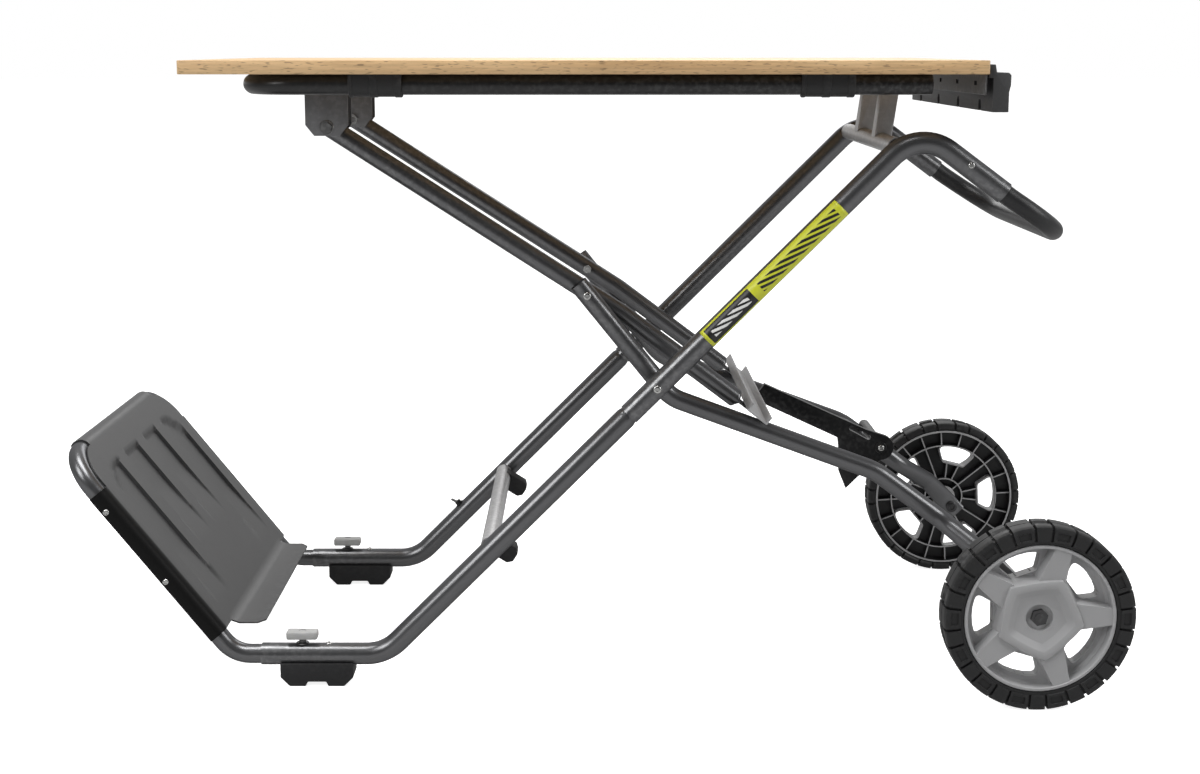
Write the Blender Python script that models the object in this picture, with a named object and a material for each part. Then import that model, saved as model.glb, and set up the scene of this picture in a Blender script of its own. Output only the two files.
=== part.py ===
"""Folding mobile workbench: a handle frame and a wheel frame cross at one pivot, and
two link tubes carry the wooden top. Metres, +Z up, +X along the top towards the
handle, +Y away from the viewer. The near side is the -Y side.

Places in the side view are (x, z), with x measured from the link pivot and z from
the floor. An empty moves everything so that the origin is under the middle.
Heights hang on the top's height, and the handle's end on the top's right end."""

import math

import bmesh
import bpy
from mathutils import Matrix, Vector

for obj in list(bpy.data.objects):
    bpy.data.objects.remove(obj, do_unlink=True)

# Fits
gap = 0.0003
bolt_clearance = 0.0005
sides = 12
bend_step = math.radians(20)

# Table
top_length = 0.994
top_width = 0.508
top_thickness = 0.017
top_height = 0.817
top_left = -0.5015
top_corner = 0.003
rail_radius = 0.0127
rail_wall = 0.0015
rail_inset = 0.029
rail_left = -0.425
rail_setback = 0.0655
rail_bend = 0.060
clip_length = 0.066
clip_wall = 0.003
clip_setbacks = (0.2395, 0.1945)
clip_slot = 0.6
bracket_thickness = 0.003
bracket_length = 0.056
bracket_drop = 0.011
bracket_chamfer = 0.014
bracket_play = 0.0015
tray_plate_height = 0.025
tray_plate_thickness = 0.002
tray_plate_setback = 0.003
tray_plate_slot = 0.014
tray_plate_slot_pitch = 0.100
tray_plate_slot_drop = 0.01375
tray_plate_slot_height = 0.005
tray_length = 0.492
tray_depth = 0.0280
tray_drop = 0.0635
tray_top_drop = 0.005
tray_inset = 0.006
tray_lip = 0.008
tray_slant = 0.002
tray_shelf_drop = 0.010
tray_under_drop = 0.004
tray_nose = 0.003
tray_nose_height = 0.015
tray_nose_foot = 0.024
tray_notch = 0.013
tray_notch_height = 0.014
tray_notch_pitch = 0.120
tray_wall = 0.003

# Handle frame
frame_y = 0.2016
frame_radius = 0.0143
frame_wall = 0.0015
foot_tube_z = 0.039
foot_corner_x = -0.267
foot_bend = 0.060
sleeve_end_x = -0.430
handle_corner_setback = 0.0735
handle_corner_drop = 0.086
handle_bend = 0.055
handle_slope = math.radians(36.5)
joint_before_pivot = 0.051087
joint_spigot = 0.035
joint_taper = 0.006
handle_tube = 0.136
handle_reach = 0.2355
handle_lift = 0.0045
handle_kink = 0.012
handle_kink_bend = 0.15
handle_radius = 0.0125
handle_corner_bend = 0.075
handle_insert = 0.040
cross_radius = 0.0115
cross_wall = 0.0015
lower_cross_along = 0.198711
lower_cross_above = 0.002670
top_cross_setback = 0.099
top_cross_drop = 0.109
post_length = 0.0230
post_width = 0.026
post_y = 0.069
post_lean = math.radians(7.6)
post_setback = 0.0106
bumper_width = 0.026
bumper_height = 0.024
bumper_y = 0.160
bumper_reach = 0.039480
spacer_radius = 0.0105

# Feet, knobs and toe frame
foot_x = -0.356
foot_length = 0.096
foot_width = 0.034
foot_shoulder = 0.012
foot_cradle = 0.006
foot_notch_length = 0.024
foot_notch_height = 0.006
knob_x = -0.3764
knob_length = 0.041
knob_width = 0.017
knob_height = 0.011
knob_lift = 0.0065
knob_stem = 0.003
knob_washer = 0.011
toe_radius = 0.0125
toe_wall = 0.0015
toe_insert_x = -0.297
toe_corner_x = -0.4665
toe_bend = 0.045
toe_length = 0.335
toe_angle = math.radians(128.2)
toe_corner_bend = 0.050
plate_thickness = 0.002
plate_low = 0.034
plate_high = 0.278
plate_half_width = 0.150
plate_crease = 0.0245
plate_lift = 0.006
plate_skirt = 0.008
lip_half_width = 0.172
lip_length = 0.034

# Wheel frame
main_pivot_x = 0.090
link_pivot_drop = 0.306
wheel_frame_y = 0.145
wheel_tube_radius = 0.0127
wheel_tube_wall = 0.0012
wheel_tube_top = 0.019
elbow_x = 0.1105
elbow_bend = 0.055
knee_x = 0.385
knee_drop = math.radians(20.2)
shin_drop = math.radians(36.5)
knee_bend = 0.080
flare_x = 0.478
flare_bend = 0.05
heel_x = 0.530
heel_y = 0.192
wheel_x = 0.571
axle_y = 0.2075
flat_half_width = 0.018
flat_half_depth = 0.0036
tyre_radius = 0.121
tyre_width = 0.041
rim_radius = 0.0958
wheel_y = 0.2775
bolt_shank = 0.004
bolt_head = 0.0075
pivot_head = 0.0058
bolt_head_height = 0.0045
nut_height = 0.005
axle_shank = 0.006
axle_head = 0.0105

# Wheels: distances from the wheel's middle plane, outward positive
hub_radius = 0.018
hub_inner = 0.019
hub_face = 0.009
hub_bore = axle_shank + bolt_clearance
web_back = -0.004
web_front = 0.0
barrel_wall = 0.0035
barrel_half = 0.0185
circle_radius = 0.0845
circle_wall = 0.002
circle_depth = 0.016
hub_ring = 0.0305
flange_radius = 0.1085
flange_wall = 0.003
spokes = 5
spoke_angle = math.radians(1.5)
spoke_inner = 0.030
spoke_outer = 0.010
spoke_face = 0.0125
boss_vertex = 0.0567
boss_face = 0.0190
boss_recess = 0.0416
boss_recess_depth = 0.006
boss_angle = math.radians(-10)
far_turn = math.radians(-34)
nut_pocket = 0.0165
rib_count = 20
rib_width = 0.002
window_inner = 0.058
window_wall = 0.002
window_half = math.radians(21)
hub_rib_angle = math.radians(10)
window_taper = 0.8
lug_pairs = 14
lug_depth = 0.004
lug_reach = 0.007

# Link frame
link_y = 0.117
table_pivot_x = -0.339
table_pivot_drop = 0.0875
link_bend_x = 0.045
link_bend = 0.15
neck_length = 0.030
neck_bend = 0.08
tongue_half = 0.0026
tongue_margin = 0.004
tongue_share = 0.45
channel_web = 0.033
channel_flange = 0.0125
channel_thickness = 0.0025
channel_half_length = 0.1716
channel_slope = math.radians(37.8)
channel_low_x = 0.236

# Latch
latch_x = 0.4184
latch_above = 0.021072
latch_thickness = 0.010
latch_eye = 0.0182
latch_bar = 0.0263
latch_bar_drop = 0.0114
latch_bar_slope = math.radians(24.5)
latch_tip_gap = 0.0012
latch_shoulder = 0.030
latch_pull = (
    (-0.0575, 0.0125),
    (-0.0613, 0.0130),
    (-0.0598, 0.0010),
    (-0.0590, -0.0343),
    (-0.0486, -0.0600),
    (-0.0320, -0.0430),
)
latch_pin_radius = 0.008
latch_pin_stub = 0.0015
latch_slot_slope = math.radians(29)
latch_slot_length = 0.028
latch_slot_height = 0.007
latch_slot_reach = 0.0425
latch_slot_rise = 0.0285


def side(x, z, y=0.0):
    return Vector((x, y, z))


floor = 0.0
top_under = top_height - top_thickness
rail_z = top_under - gap - rail_radius
rail_y = top_width / 2 - rail_inset
top_right = top_left + top_length
rail_right = top_right - rail_setback
clip_centres = (top_left + clip_setbacks[0], top_right - clip_setbacks[1])
foot_corner = side(foot_corner_x, foot_tube_z)
handle_corner = side(top_right - handle_corner_setback, top_height - handle_corner_drop)
lean = (handle_corner - foot_corner).normalized()
lean_normal = Vector((-lean.z, 0, lean.x))
main_pivot = foot_corner + lean * ((main_pivot_x - foot_corner.x) / lean.x)
link_pivot = side(0.0, top_height - link_pivot_drop)
table_pivot = side(table_pivot_x, top_height - table_pivot_drop)
wheel_centre = side(wheel_x, tyre_radius)
toe_corner = side(toe_corner_x, foot_tube_z)
toe_up = Vector((math.cos(toe_angle), 0, math.sin(toe_angle)))
toe_normal = Vector((math.sin(toe_angle), 0, -math.cos(toe_angle)))
toe_top = toe_corner + toe_up * toe_length
plate_rise = toe_radius + gap + plate_thickness / 2
leftmost = toe_top.x - plate_rise - plate_thickness / 2
centre_x = (leftmost + wheel_x + tyre_radius) / 2

workbench = bpy.data.objects.new("workbench", None)
workbench.location = (-centre_x, 0, 0)
bpy.context.collection.objects.link(workbench)


def finish(name, colour, roughness, metallic):
    material = bpy.data.materials.new(name)
    material.use_nodes = True
    shader = material.node_tree.nodes["Principled BSDF"]
    shader.inputs["Base Color"].default_value = (*colour, 1)
    shader.inputs["Roughness"].default_value = roughness
    shader.inputs["Metallic"].default_value = metallic
    return material


def grey_steel(name):
    return finish(name, (0.10, 0.10, 0.105), 0.32, 0.8)


def black_steel(name):
    return finish(name, (0.02, 0.02, 0.021), 0.38, 0.4)


def light_steel(name):
    return finish(name, (0.28, 0.28, 0.29), 0.40, 0.6)


def bright_zinc(name):
    return finish(name, (0.45, 0.45, 0.44), 0.30, 0.9)


def black_plastic(name):
    return finish(name, (0.018, 0.018, 0.019), 0.55, 0.0)


def grey_plastic(name):
    return finish(name, (0.26, 0.26, 0.27), 0.50, 0.0)


def black_rubber(name):
    return finish(name, (0.016, 0.016, 0.017), 0.75, 0.0)


def beech(name):
    return finish(name, (0.62, 0.42, 0.24), 0.55, 0.0)


def node(name, bm, material, pivot=None, smooth=True):
    """One named object whose origin is on its joint axis."""
    pivot = pivot if pivot is not None else Vector()
    bmesh.ops.recalc_face_normals(bm, faces=bm.faces)
    bmesh.ops.translate(bm, verts=bm.verts, vec=-pivot)
    mesh = bpy.data.meshes.new(name)
    bm.to_mesh(mesh)
    bm.free()
    if smooth:
        mesh.shade_smooth()
        mesh.set_sharp_from_angle(angle=math.radians(35))
    obj = bpy.data.objects.new(name, mesh)
    obj.location = pivot
    obj.parent = workbench
    bpy.context.collection.objects.link(obj)
    if material:
        obj.data.materials.append(material)
    return obj


def helper(name, bm, pivot=None):
    """A shape that only cuts or joins another."""
    obj = node(name, bm, None, pivot)
    obj.hide_render = True
    obj.display_type = "WIRE"
    return obj


def boolean(obj, other, operation="DIFFERENCE"):
    step = obj.modifiers.new(f"{operation.lower()} {other.name}", "BOOLEAN")
    step.operation = operation
    step.solver = "EXACT"
    step.object = other


def route(corners):
    """Points with their section, with an arc of the corner's radius at each bend."""
    points = [(corners[0][0], corners[0][2])]
    for before, (corner, radius, section), after in zip(corners, corners[1:], corners[2:]):
        back = (before[0] - corner).normalized()
        ahead = (after[0] - corner).normalized()
        turn = math.pi - back.angle(ahead)
        if radius == 0 or turn < math.radians(1):
            points.append((corner, section))
            continue
        centre = corner + (back + ahead).normalized() * radius / math.cos(turn / 2)
        arm = corner + back * radius * math.tan(turn / 2) - centre
        end = corner + ahead * radius * math.tan(turn / 2) - centre
        axis = arm.cross(end).normalized()
        steps = max(1, round(turn / bend_step))
        for step in range(steps + 1):
            points.append((centre + Matrix.Rotation(turn * step / steps, 3, axis) @ arm, section))
    points.append((corners[-1][0], corners[-1][2]))
    return points


def tube(name, corners, wall, material, pivot=None, across=Vector((0, 1, 0))):
    """A tube open at both ends, swept from corners of (point, bend radius, half sizes)."""
    points = route(corners)
    bm = bmesh.new()
    ring = bmesh.ops.create_circle(bm, segments=sides, radius=1, cap_ends=False)["verts"]
    edges = list(bm.edges)
    last = Matrix.Identity(4)
    for index, (point, section) in enumerate(points):
        before = points[max(index - 1, 0)][0]
        after = points[min(index + 1, len(points) - 1)][0]
        way = ((point - before).normalized() + (after - point).normalized()).normalized()
        across = (across - way * across.dot(way)).normalized()
        up = way.cross(across)
        frame = Matrix.Translation(point) @ Matrix((up, across, way)).transposed().to_4x4()
        frame = frame @ Matrix.Diagonal((section[0], section[1], 1, 1))
        if index:
            made = bmesh.ops.extrude_edge_only(bm, edges=edges)["geom"]
            ring = [item for item in made if isinstance(item, bmesh.types.BMVert)]
            edges = [item for item in made if isinstance(item, bmesh.types.BMEdge)]
            edges = [edge for edge in edges if all(vert in ring for vert in edge.verts)]
        bmesh.ops.transform(bm, matrix=frame @ last.inverted(), verts=ring)
        last = frame
    obj = node(name, bm, material, pivot)
    shell = obj.modifiers.new("wall", "SOLIDIFY")
    shell.thickness = wall
    shell.offset = -1
    shell.use_even_offset = True
    return obj


def prism(outline, low, high, along=Vector((0, 1, 0))):
    """A closed outline, given as points, drawn out along one direction."""
    bm = bmesh.new()
    face = bm.faces.new([bm.verts.new(point + along * low) for point in outline])
    made = bmesh.ops.extrude_face_region(bm, geom=[face])["geom"]
    verts = [item for item in made if isinstance(item, bmesh.types.BMVert)]
    bmesh.ops.translate(bm, verts=verts, vec=along * (high - low))
    return bm


def turned(profile, centre, outward, segments, ring=False):
    """(radius, distance) points spun about the Y axis through centre. A ring closes on itself."""
    bm = bmesh.new()
    verts = [bm.verts.new(centre + Vector((r, outward * d, 0))) for r, d in profile]
    edges = [bm.edges.new(pair) for pair in zip(verts, verts[1:])]
    if ring:
        edges.append(bm.edges.new((verts[-1], verts[0])))
    bmesh.ops.spin(
        bm,
        geom=verts + edges,
        cent=centre,
        axis=(0, 1, 0),
        angle=math.tau,
        steps=segments,
        use_merge=True,
    )
    bmesh.ops.remove_doubles(bm, verts=bm.verts, dist=1e-6)
    return bm


def box(low, high):
    bm = bmesh.new()
    size = Vector(high) - Vector(low)
    middle = (Vector(high) + Vector(low)) / 2
    bmesh.ops.create_cube(bm, size=1, matrix=Matrix.Translation(middle) @ Matrix.Diagonal((*size, 1)))
    return bm


def soften(bm, width, segments=1):
    bmesh.ops.bevel(
        bm,
        geom=bm.edges[:],
        offset=width,
        segments=segments,
        affect="EDGES",
        profile=0.5,
        material=-1,
    )
    return bm


def drill(obj, centre, radius, low, high, pivot=None):
    """A round hole along Y."""
    profile = [(0, low), (radius, low), (radius, high), (0, high)]
    boolean(obj, helper(f"{obj.name}.hole", turned(profile, centre, 1, sides), pivot))


def bolt(name, centre, outward, head_face, tail, shank, head, height, pivot):
    profile = [
        (0, head_face + height),
        (head * 0.7, head_face + height),
        (head, head_face + height * 0.45),
        (head, head_face),
        (shank, head_face),
        (shank, tail),
        (0, tail),
    ]
    return node(name, turned(profile, centre, outward, 8), bright_zinc(f"{name} zinc"), pivot)


def nut(name, centre, outward, face, shank, size, height, pivot):
    inner = shank + gap
    profile = [(inner, face), (size, face), (size, face - height), (inner, face - height)]
    bm = turned(profile, centre, outward, 8, ring=True)
    return node(name, bm, bright_zinc(f"{name} zinc"), pivot)


round_frame = (frame_radius, frame_radius)
spigot_radius = frame_radius - frame_wall - gap
round_spigot = (spigot_radius, spigot_radius)
round_toe = (toe_radius, toe_radius)
round_handle = (handle_radius, handle_radius)
round_wheel = (wheel_tube_radius, wheel_tube_radius)
round_rail = (rail_radius, rail_radius)
round_cross = (cross_radius, cross_radius)
handle_way = Vector((math.cos(handle_slope), 0, -math.sin(handle_slope)))
frame_inner_y = frame_y - frame_radius
wheel_inner_y = wheel_frame_y - wheel_tube_radius
wheel_outer_y = wheel_frame_y + wheel_tube_radius
link_inner_y = link_y - wheel_tube_radius
hole = bolt_shank + bolt_clearance


def shifted(point, y):
    return Vector((point.x, y, point.z))


def side_frame(label, outward):
    """Lower tube with its foot run and swaged top, and the upper tube up to the handle."""
    y = outward * frame_y
    joint = main_pivot - lean * joint_before_pivot
    lower = tube(
        f"{label}_lower_side_tube",
        [
            (side(sleeve_end_x, foot_tube_z, y), 0, round_frame),
            (shifted(foot_corner, y), foot_bend, round_frame),
            (shifted(joint - lean * joint_taper, y), 0, round_frame),
            (shifted(joint, y), 0, round_spigot),
            (shifted(joint + lean * joint_spigot, y), 0, round_spigot),
        ],
        frame_wall,
        grey_steel(f"{label} lower tube paint"),
    )
    stem_hole = prism(
        [side(knob_x, foot_tube_z, y) + Vector((math.cos(a), math.sin(a), 0)) * (knob_stem + 2 * gap)
         for a in [math.tau * i / 12 for i in range(12)]],
        0,
        frame_radius * 2,
        Vector((0, 0, 1)),
    )
    boolean(lower, helper(f"{label}_stem_hole", stem_hole))
    upper = tube(
        f"{label}_upper_side_tube",
        [
            (shifted(joint + lean * gap, y), 0, round_frame),
            (shifted(handle_corner, y), handle_bend, round_frame),
            (shifted(handle_corner + handle_way * handle_tube, y), 0, round_frame),
        ],
        frame_wall,
        grey_steel(f"{label} upper tube paint"),
    )
    drill(upper, shifted(main_pivot, y), hole, -2 * frame_radius, 2 * frame_radius)


def main_pivot_hardware(label, outward):
    """A bolt through frame tube, spacer and wheel tube, into a thread in the wheel tube's inner wall."""
    profile = [
        (hole, frame_inner_y - gap),
        (spacer_radius, frame_inner_y - gap),
        (spacer_radius, wheel_outer_y + gap),
        (hole, wheel_outer_y + gap),
    ]
    node(
        f"{label}_pivot_spacer",
        turned(profile, main_pivot, outward, 16, ring=True),
        black_plastic(f"{label} spacer nylon"),
    )
    bolt(
        f"{label}_main_pivot_bolt",
        main_pivot,
        outward,
        frame_y + frame_radius + gap,
        wheel_inner_y,
        bolt_shank,
        pivot_head,
        bolt_head_height,
        main_pivot,
    )


def foot(label, outward):
    """A moulded foot that cradles the sleeve from below."""
    y = outward * frame_y
    left = foot_x - foot_length / 2
    right = foot_x + foot_length / 2
    top = foot_tube_z - frame_radius + foot_cradle
    notch_left = foot_x - foot_notch_length / 2
    notch_right = foot_x + foot_notch_length / 2
    outline = [
        side(left, top),
        side(left, foot_shoulder),
        side(left + foot_shoulder, floor),
        side(notch_left - foot_notch_height / 2, floor),
        side(notch_left, foot_notch_height),
        side(notch_right, foot_notch_height),
        side(notch_right + foot_notch_height / 2, floor),
        side(right - foot_shoulder, floor),
        side(right, foot_shoulder),
        side(right, top),
    ]
    bm = prism(outline, y - foot_width / 2, y + foot_width / 2)
    obj = node(f"{label}_foot", bm, black_rubber(f"{label} foot rubber"), smooth=False)
    circle = [
        side(left - foot_length, foot_tube_z, y)
        + Vector((0, math.cos(a), math.sin(a))) * (frame_radius + 2 * gap)
        for a in [math.tau * i / 24 for i in range(24)]
    ]
    boolean(obj, helper(f"{label}_cradle", prism(circle, 0, 3 * foot_length, Vector((1, 0, 0)))))


def clamp_knob(label, outward):
    """A flat-sided knob on a screw that presses on the sliding tube."""
    y = outward * frame_y
    stem_foot = foot_tube_z + toe_radius + gap
    washer_z = foot_tube_z + frame_radius + gap
    under = washer_z + knob_lift
    pivot = side(knob_x, stem_foot, y)
    half = Vector((knob_length / 2, knob_width / 2, knob_height / 2))
    middle = side(knob_x, under + knob_height / 2, y)
    grip = soften(box(middle - half, middle + half), knob_height / 5)
    obj = node(f"{label}_clamp_knob", grip, grey_plastic(f"{label} knob plastic"), pivot)
    profile = [
        (knob_stem, stem_foot),
        (knob_stem, washer_z),
        (knob_washer, washer_z),
        (knob_washer, washer_z + knob_lift / 4),
        (knob_stem * 1.4, washer_z + knob_lift / 2),
        (knob_stem * 1.4, under + knob_height / 2),
    ]
    stem = bmesh.new()
    profile = [(0, stem_foot), *profile, (0, profile[-1][1])]
    verts = [stem.verts.new((knob_x + r, y, z)) for r, z in profile]
    edges = [stem.edges.new(pair) for pair in zip(verts, verts[1:])]
    bmesh.ops.spin(
        stem,
        geom=verts + edges,
        cent=(knob_x, y, 0),
        axis=(0, 0, 1),
        angle=math.tau,
        steps=12,
        use_merge=True,
    )
    bmesh.ops.remove_doubles(stem, verts=stem.verts, dist=1e-6)
    boolean(obj, helper(f"{label}_stem", stem, pivot), "UNION")


def frame_cross_members():
    """The welded cross tubes, the rest posts on the upper one and the bumpers on the lower one."""
    end = frame_inner_y - gap
    top_cross = side(top_right - top_cross_setback, top_height - top_cross_drop)
    low_cross = foot_corner + lean * lower_cross_along + lean_normal * lower_cross_above
    for name, centre in (("top_cross_tube", top_cross), ("lower_cross_tube", low_cross)):
        tube(
            name,
            [(shifted(centre, -end), 0, round_cross), (shifted(centre, end), 0, round_cross)],
            cross_wall,
            light_steel(f"{name} paint"),
            across=Vector((1, 0, 0)),
        )
    post_top = top_under - gap
    cross_seat = cross_radius + gap
    for label, outward in (("near", -1), ("far", 1)):
        y = outward * post_y
        left = top_cross.x - post_setback
        slant = (post_top - top_cross.z) * math.tan(post_lean)
        outline = [
            side(left + slant + post_length, post_top),
            side(left + slant, post_top),
            side(left, top_cross.z),
            side(left + post_length, top_cross.z),
        ]
        bm = prism(outline, y - post_width / 2, y + post_width / 2)
        post = node(f"{label}_rest_post", bm, light_steel(f"{label} post paint"), smooth=False)
        seat = [(0, -post_width), (cross_seat, -post_width), (cross_seat, post_width), (0, post_width)]
        boolean(post, helper(f"{label}_post_seat", turned(seat, shifted(top_cross, y), 1, 24)))
    # Folded, the wheel tubes lie just past the bumpers' ends. Their line keeps its distance
    # from the main pivot, which gives the way that the bumpers point.
    knee = (wheel_knee - wheel_elbow).normalized()
    upright = Vector((-knee.z, 0, knee.x))
    arm = low_cross - main_pivot
    apart = (wheel_elbow - main_pivot).dot(upright) - bumper_reach - wheel_tube_radius - 2 * gap
    turn = math.atan2(arm.x, arm.z) - math.atan2(upright.x, upright.z) - math.acos(apart / arm.length)
    folded = Matrix.Rotation(turn, 3, "Y")
    along = folded @ knee
    away = folded @ upright
    for label, outward in (("near", -1), ("far", 1)):
        y = outward * bumper_y
        half = along * bumper_height / 2
        outline = [
            low_cross + half,
            low_cross + half + away * (bumper_reach - bumper_height / 4),
            low_cross + half / 2 + away * bumper_reach,
            low_cross - half / 2 + away * bumper_reach,
            low_cross - half + away * (bumper_reach - bumper_height / 4),
            low_cross - half,
        ]
        bm = prism(outline, y - bumper_width / 2, y + bumper_width / 2)
        pad = node(f"{label}_bumper", bm, black_rubber(f"{label} bumper rubber"), smooth=False)
        seat = [(0, -bumper_width), (cross_seat, -bumper_width)]
        seat += [(cross_seat, bumper_width), (0, bumper_width)]
        boolean(pad, helper(f"{label}_bumper_seat", turned(seat, shifted(low_cross, y), 1, 24)))


def handle_bar():
    """The gripped U that plugs into both upper tubes."""
    start = handle_corner + handle_way * (handle_tube - handle_insert)
    kink = handle_corner + handle_way * (handle_tube + handle_kink)
    lift = Vector((math.sin(handle_slope), 0, math.cos(handle_slope))) * handle_lift
    end = handle_corner + handle_way * handle_reach + lift
    tube(
        "handle_bar",
        [
            (shifted(start, -frame_y), 0, round_handle),
            (shifted(kink, -frame_y), handle_kink_bend, round_handle),
            (shifted(end, -frame_y), handle_corner_bend, round_handle),
            (shifted(end, frame_y), handle_corner_bend, round_handle),
            (shifted(kink, frame_y), handle_kink_bend, round_handle),
            (shifted(start, frame_y), 0, round_handle),
        ],
        frame_wall,
        black_rubber("handle grip"),
    )


def toe_frame():
    """The sliding U that plugs into both foot sleeves."""
    tube(
        "toe_frame_tube",
        [
            (side(toe_insert_x, foot_tube_z, -frame_y), 0, round_toe),
            (shifted(toe_corner, -frame_y), toe_bend, round_toe),
            (shifted(toe_top, -frame_y), toe_corner_bend, round_toe),
            (shifted(toe_top, frame_y), toe_corner_bend, round_toe),
            (shifted(toe_corner, frame_y), toe_bend, round_toe),
            (side(toe_insert_x, foot_tube_z, frame_y), 0, round_toe),
        ],
        toe_wall,
        grey_steel("toe frame paint"),
    )


def toe_plate():
    """Pressed sheet: it wraps both legs, rolls over the top tube and ends in a flat lip."""

    def place(y, along, rise):
        return toe_corner + toe_up * along + toe_normal * rise + Vector((0, y, 0))

    quarter = [math.radians(a) for a in (0, 30, 60, 90)]
    edge = [(-frame_y - math.cos(a) * plate_rise, math.sin(a) * plate_rise) for a in quarter]
    edge = [(edge[0][0], -plate_skirt)] + edge
    columns = edge + [(-lip_half_width, plate_rise), (-plate_half_width, plate_rise)]
    columns = columns + [(-y, rise) for y, rise in reversed(columns)]
    middle = range(len(edge) + 1, len(columns) - len(edge) - 2)
    inner = range(len(edge), len(columns) - len(edge) - 1)
    lip_up = Vector((1, 0, 0)) * lip_length
    crease = [place(y, plate_crease, rise + plate_lift) for y, rise in columns]
    rows = [[point + lip_up for point in crease], crease]
    rows += [[place(y, s, rise) for y, rise in columns] for s in (plate_low, plate_high)]
    for turn in (0, 30, 60, 90, 115):
        a = math.radians(turn)
        s = toe_length + math.sin(a) * plate_rise
        rise = math.cos(a) * plate_rise
        rows.append([place(y, s, rise) for y, _ in columns])
    bm = bmesh.new()
    grid = [[bm.verts.new(point) for point in row] for row in rows]
    for row in range(len(rows) - 1):
        allowed = inner if row < 2 else range(len(columns) - 1) if row == 2 else middle
        for column in allowed:
            bm.faces.new(
                (
                    grid[row][column],
                    grid[row][column + 1],
                    grid[row + 1][column + 1],
                    grid[row + 1][column],
                )
            )
    bmesh.ops.delete(bm, geom=[vert for vert in bm.verts if not vert.link_faces], context="VERTS")
    obj = node("toe_plate", bm, grey_steel("toe plate paint"))
    shell = obj.modifiers.new("sheet", "SOLIDIFY")
    shell.thickness = plate_thickness
    shell.offset = 0
    shell.use_even_offset = True


wheel_elbow = main_pivot + (main_pivot - link_pivot) * ((elbow_x - main_pivot_x) / main_pivot_x)
wheel_knee = wheel_elbow + side(knee_x - elbow_x, -(knee_x - elbow_x) * math.tan(knee_drop))
wheel_flare = wheel_knee + side(flare_x - knee_x, -(flare_x - knee_x) * math.tan(shin_drop))
wheel_heel = wheel_knee + side(heel_x - knee_x, -(heel_x - knee_x) * math.tan(shin_drop))
latch_foot = wheel_knee + side(latch_x - wheel_knee.x, -(latch_x - wheel_knee.x) * math.tan(shin_drop))
latch_pivot = latch_foot + side(0, latch_above)
flat_section = (flat_half_width, flat_half_depth)


def wheel_tube(label, outward):
    """The bent tube from the link pivot to the axle, flared and flattened at its lower end."""
    y = outward * wheel_frame_y
    down = (main_pivot - link_pivot).normalized()
    start = link_pivot - down * wheel_tube_top
    heel = shifted(wheel_heel, outward * heel_y)
    axle = shifted(wheel_centre, outward * axle_y)
    flat = shifted(wheel_centre - wheel_heel, 0).normalized() * flat_half_width
    half = tuple((a + b) / 2 for a, b in zip(round_wheel, flat_section))
    obj = tube(
        f"{label}_wheel_tube",
        [
            (shifted(start, y), 0, round_wheel),
            (shifted(wheel_elbow, y), elbow_bend, round_wheel),
            (shifted(wheel_knee, y), knee_bend, round_wheel),
            (shifted(wheel_flare, y), flare_bend, round_wheel),
            (heel, 0, half),
            (axle - flat, 0, flat_section),
            (axle + flat, 0, flat_section),
        ],
        wheel_tube_wall,
        grey_steel(f"{label} wheel tube paint"),
        main_pivot,
    )
    reach = 3 * wheel_tube_radius
    drill(obj, shifted(main_pivot, y), hole, -reach, reach, main_pivot)
    drill(obj, shifted(link_pivot, y), hole, -reach, reach, main_pivot)
    drill(obj, axle, axle_shank + bolt_clearance, -reach / 2, reach / 2, main_pivot)


def axle_hardware(label, outward):
    """The stub axle from the flattened tube end through the hub, its spacer and its nut."""
    inner = axle_y - flat_half_depth - gap - bolt_clearance
    outer = axle_y + flat_half_depth + gap + bolt_clearance
    hub = wheel_y - hub_inner - gap
    profile = [
        (axle_shank + gap, outer),
        (axle_head, outer),
        (axle_head, hub),
        (axle_shank + gap, hub),
    ]
    node(
        f"{label}_axle_spacer",
        turned(profile, wheel_centre, outward, 16, ring=True),
        bright_zinc(f"{label} axle spacer zinc"),
        wheel_centre,
    )
    tail = wheel_y + hub_face + gap + nut_height + gap
    profile = [
        (0, inner - bolt_head_height),
        (axle_head * 0.8, inner - bolt_head_height),
        (axle_head, inner - bolt_head_height / 2),
        (axle_head, inner),
        (axle_shank, inner),
        (axle_shank, tail),
        (0, tail),
    ]
    node(
        f"{label}_axle_bolt",
        turned(profile, wheel_centre, outward, 8),
        bright_zinc(f"{label} axle zinc"),
        wheel_centre,
    )
    nut(
        f"{label}_axle_nut",
        wheel_centre,
        outward,
        tail - gap,
        axle_shank,
        axle_head,
        nut_height - gap,
        wheel_centre,
    )


def around(radius, angle, distance, outward):
    return wheel_centre + Vector((radius * math.cos(angle), outward * distance, radius * math.sin(angle)))


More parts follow.
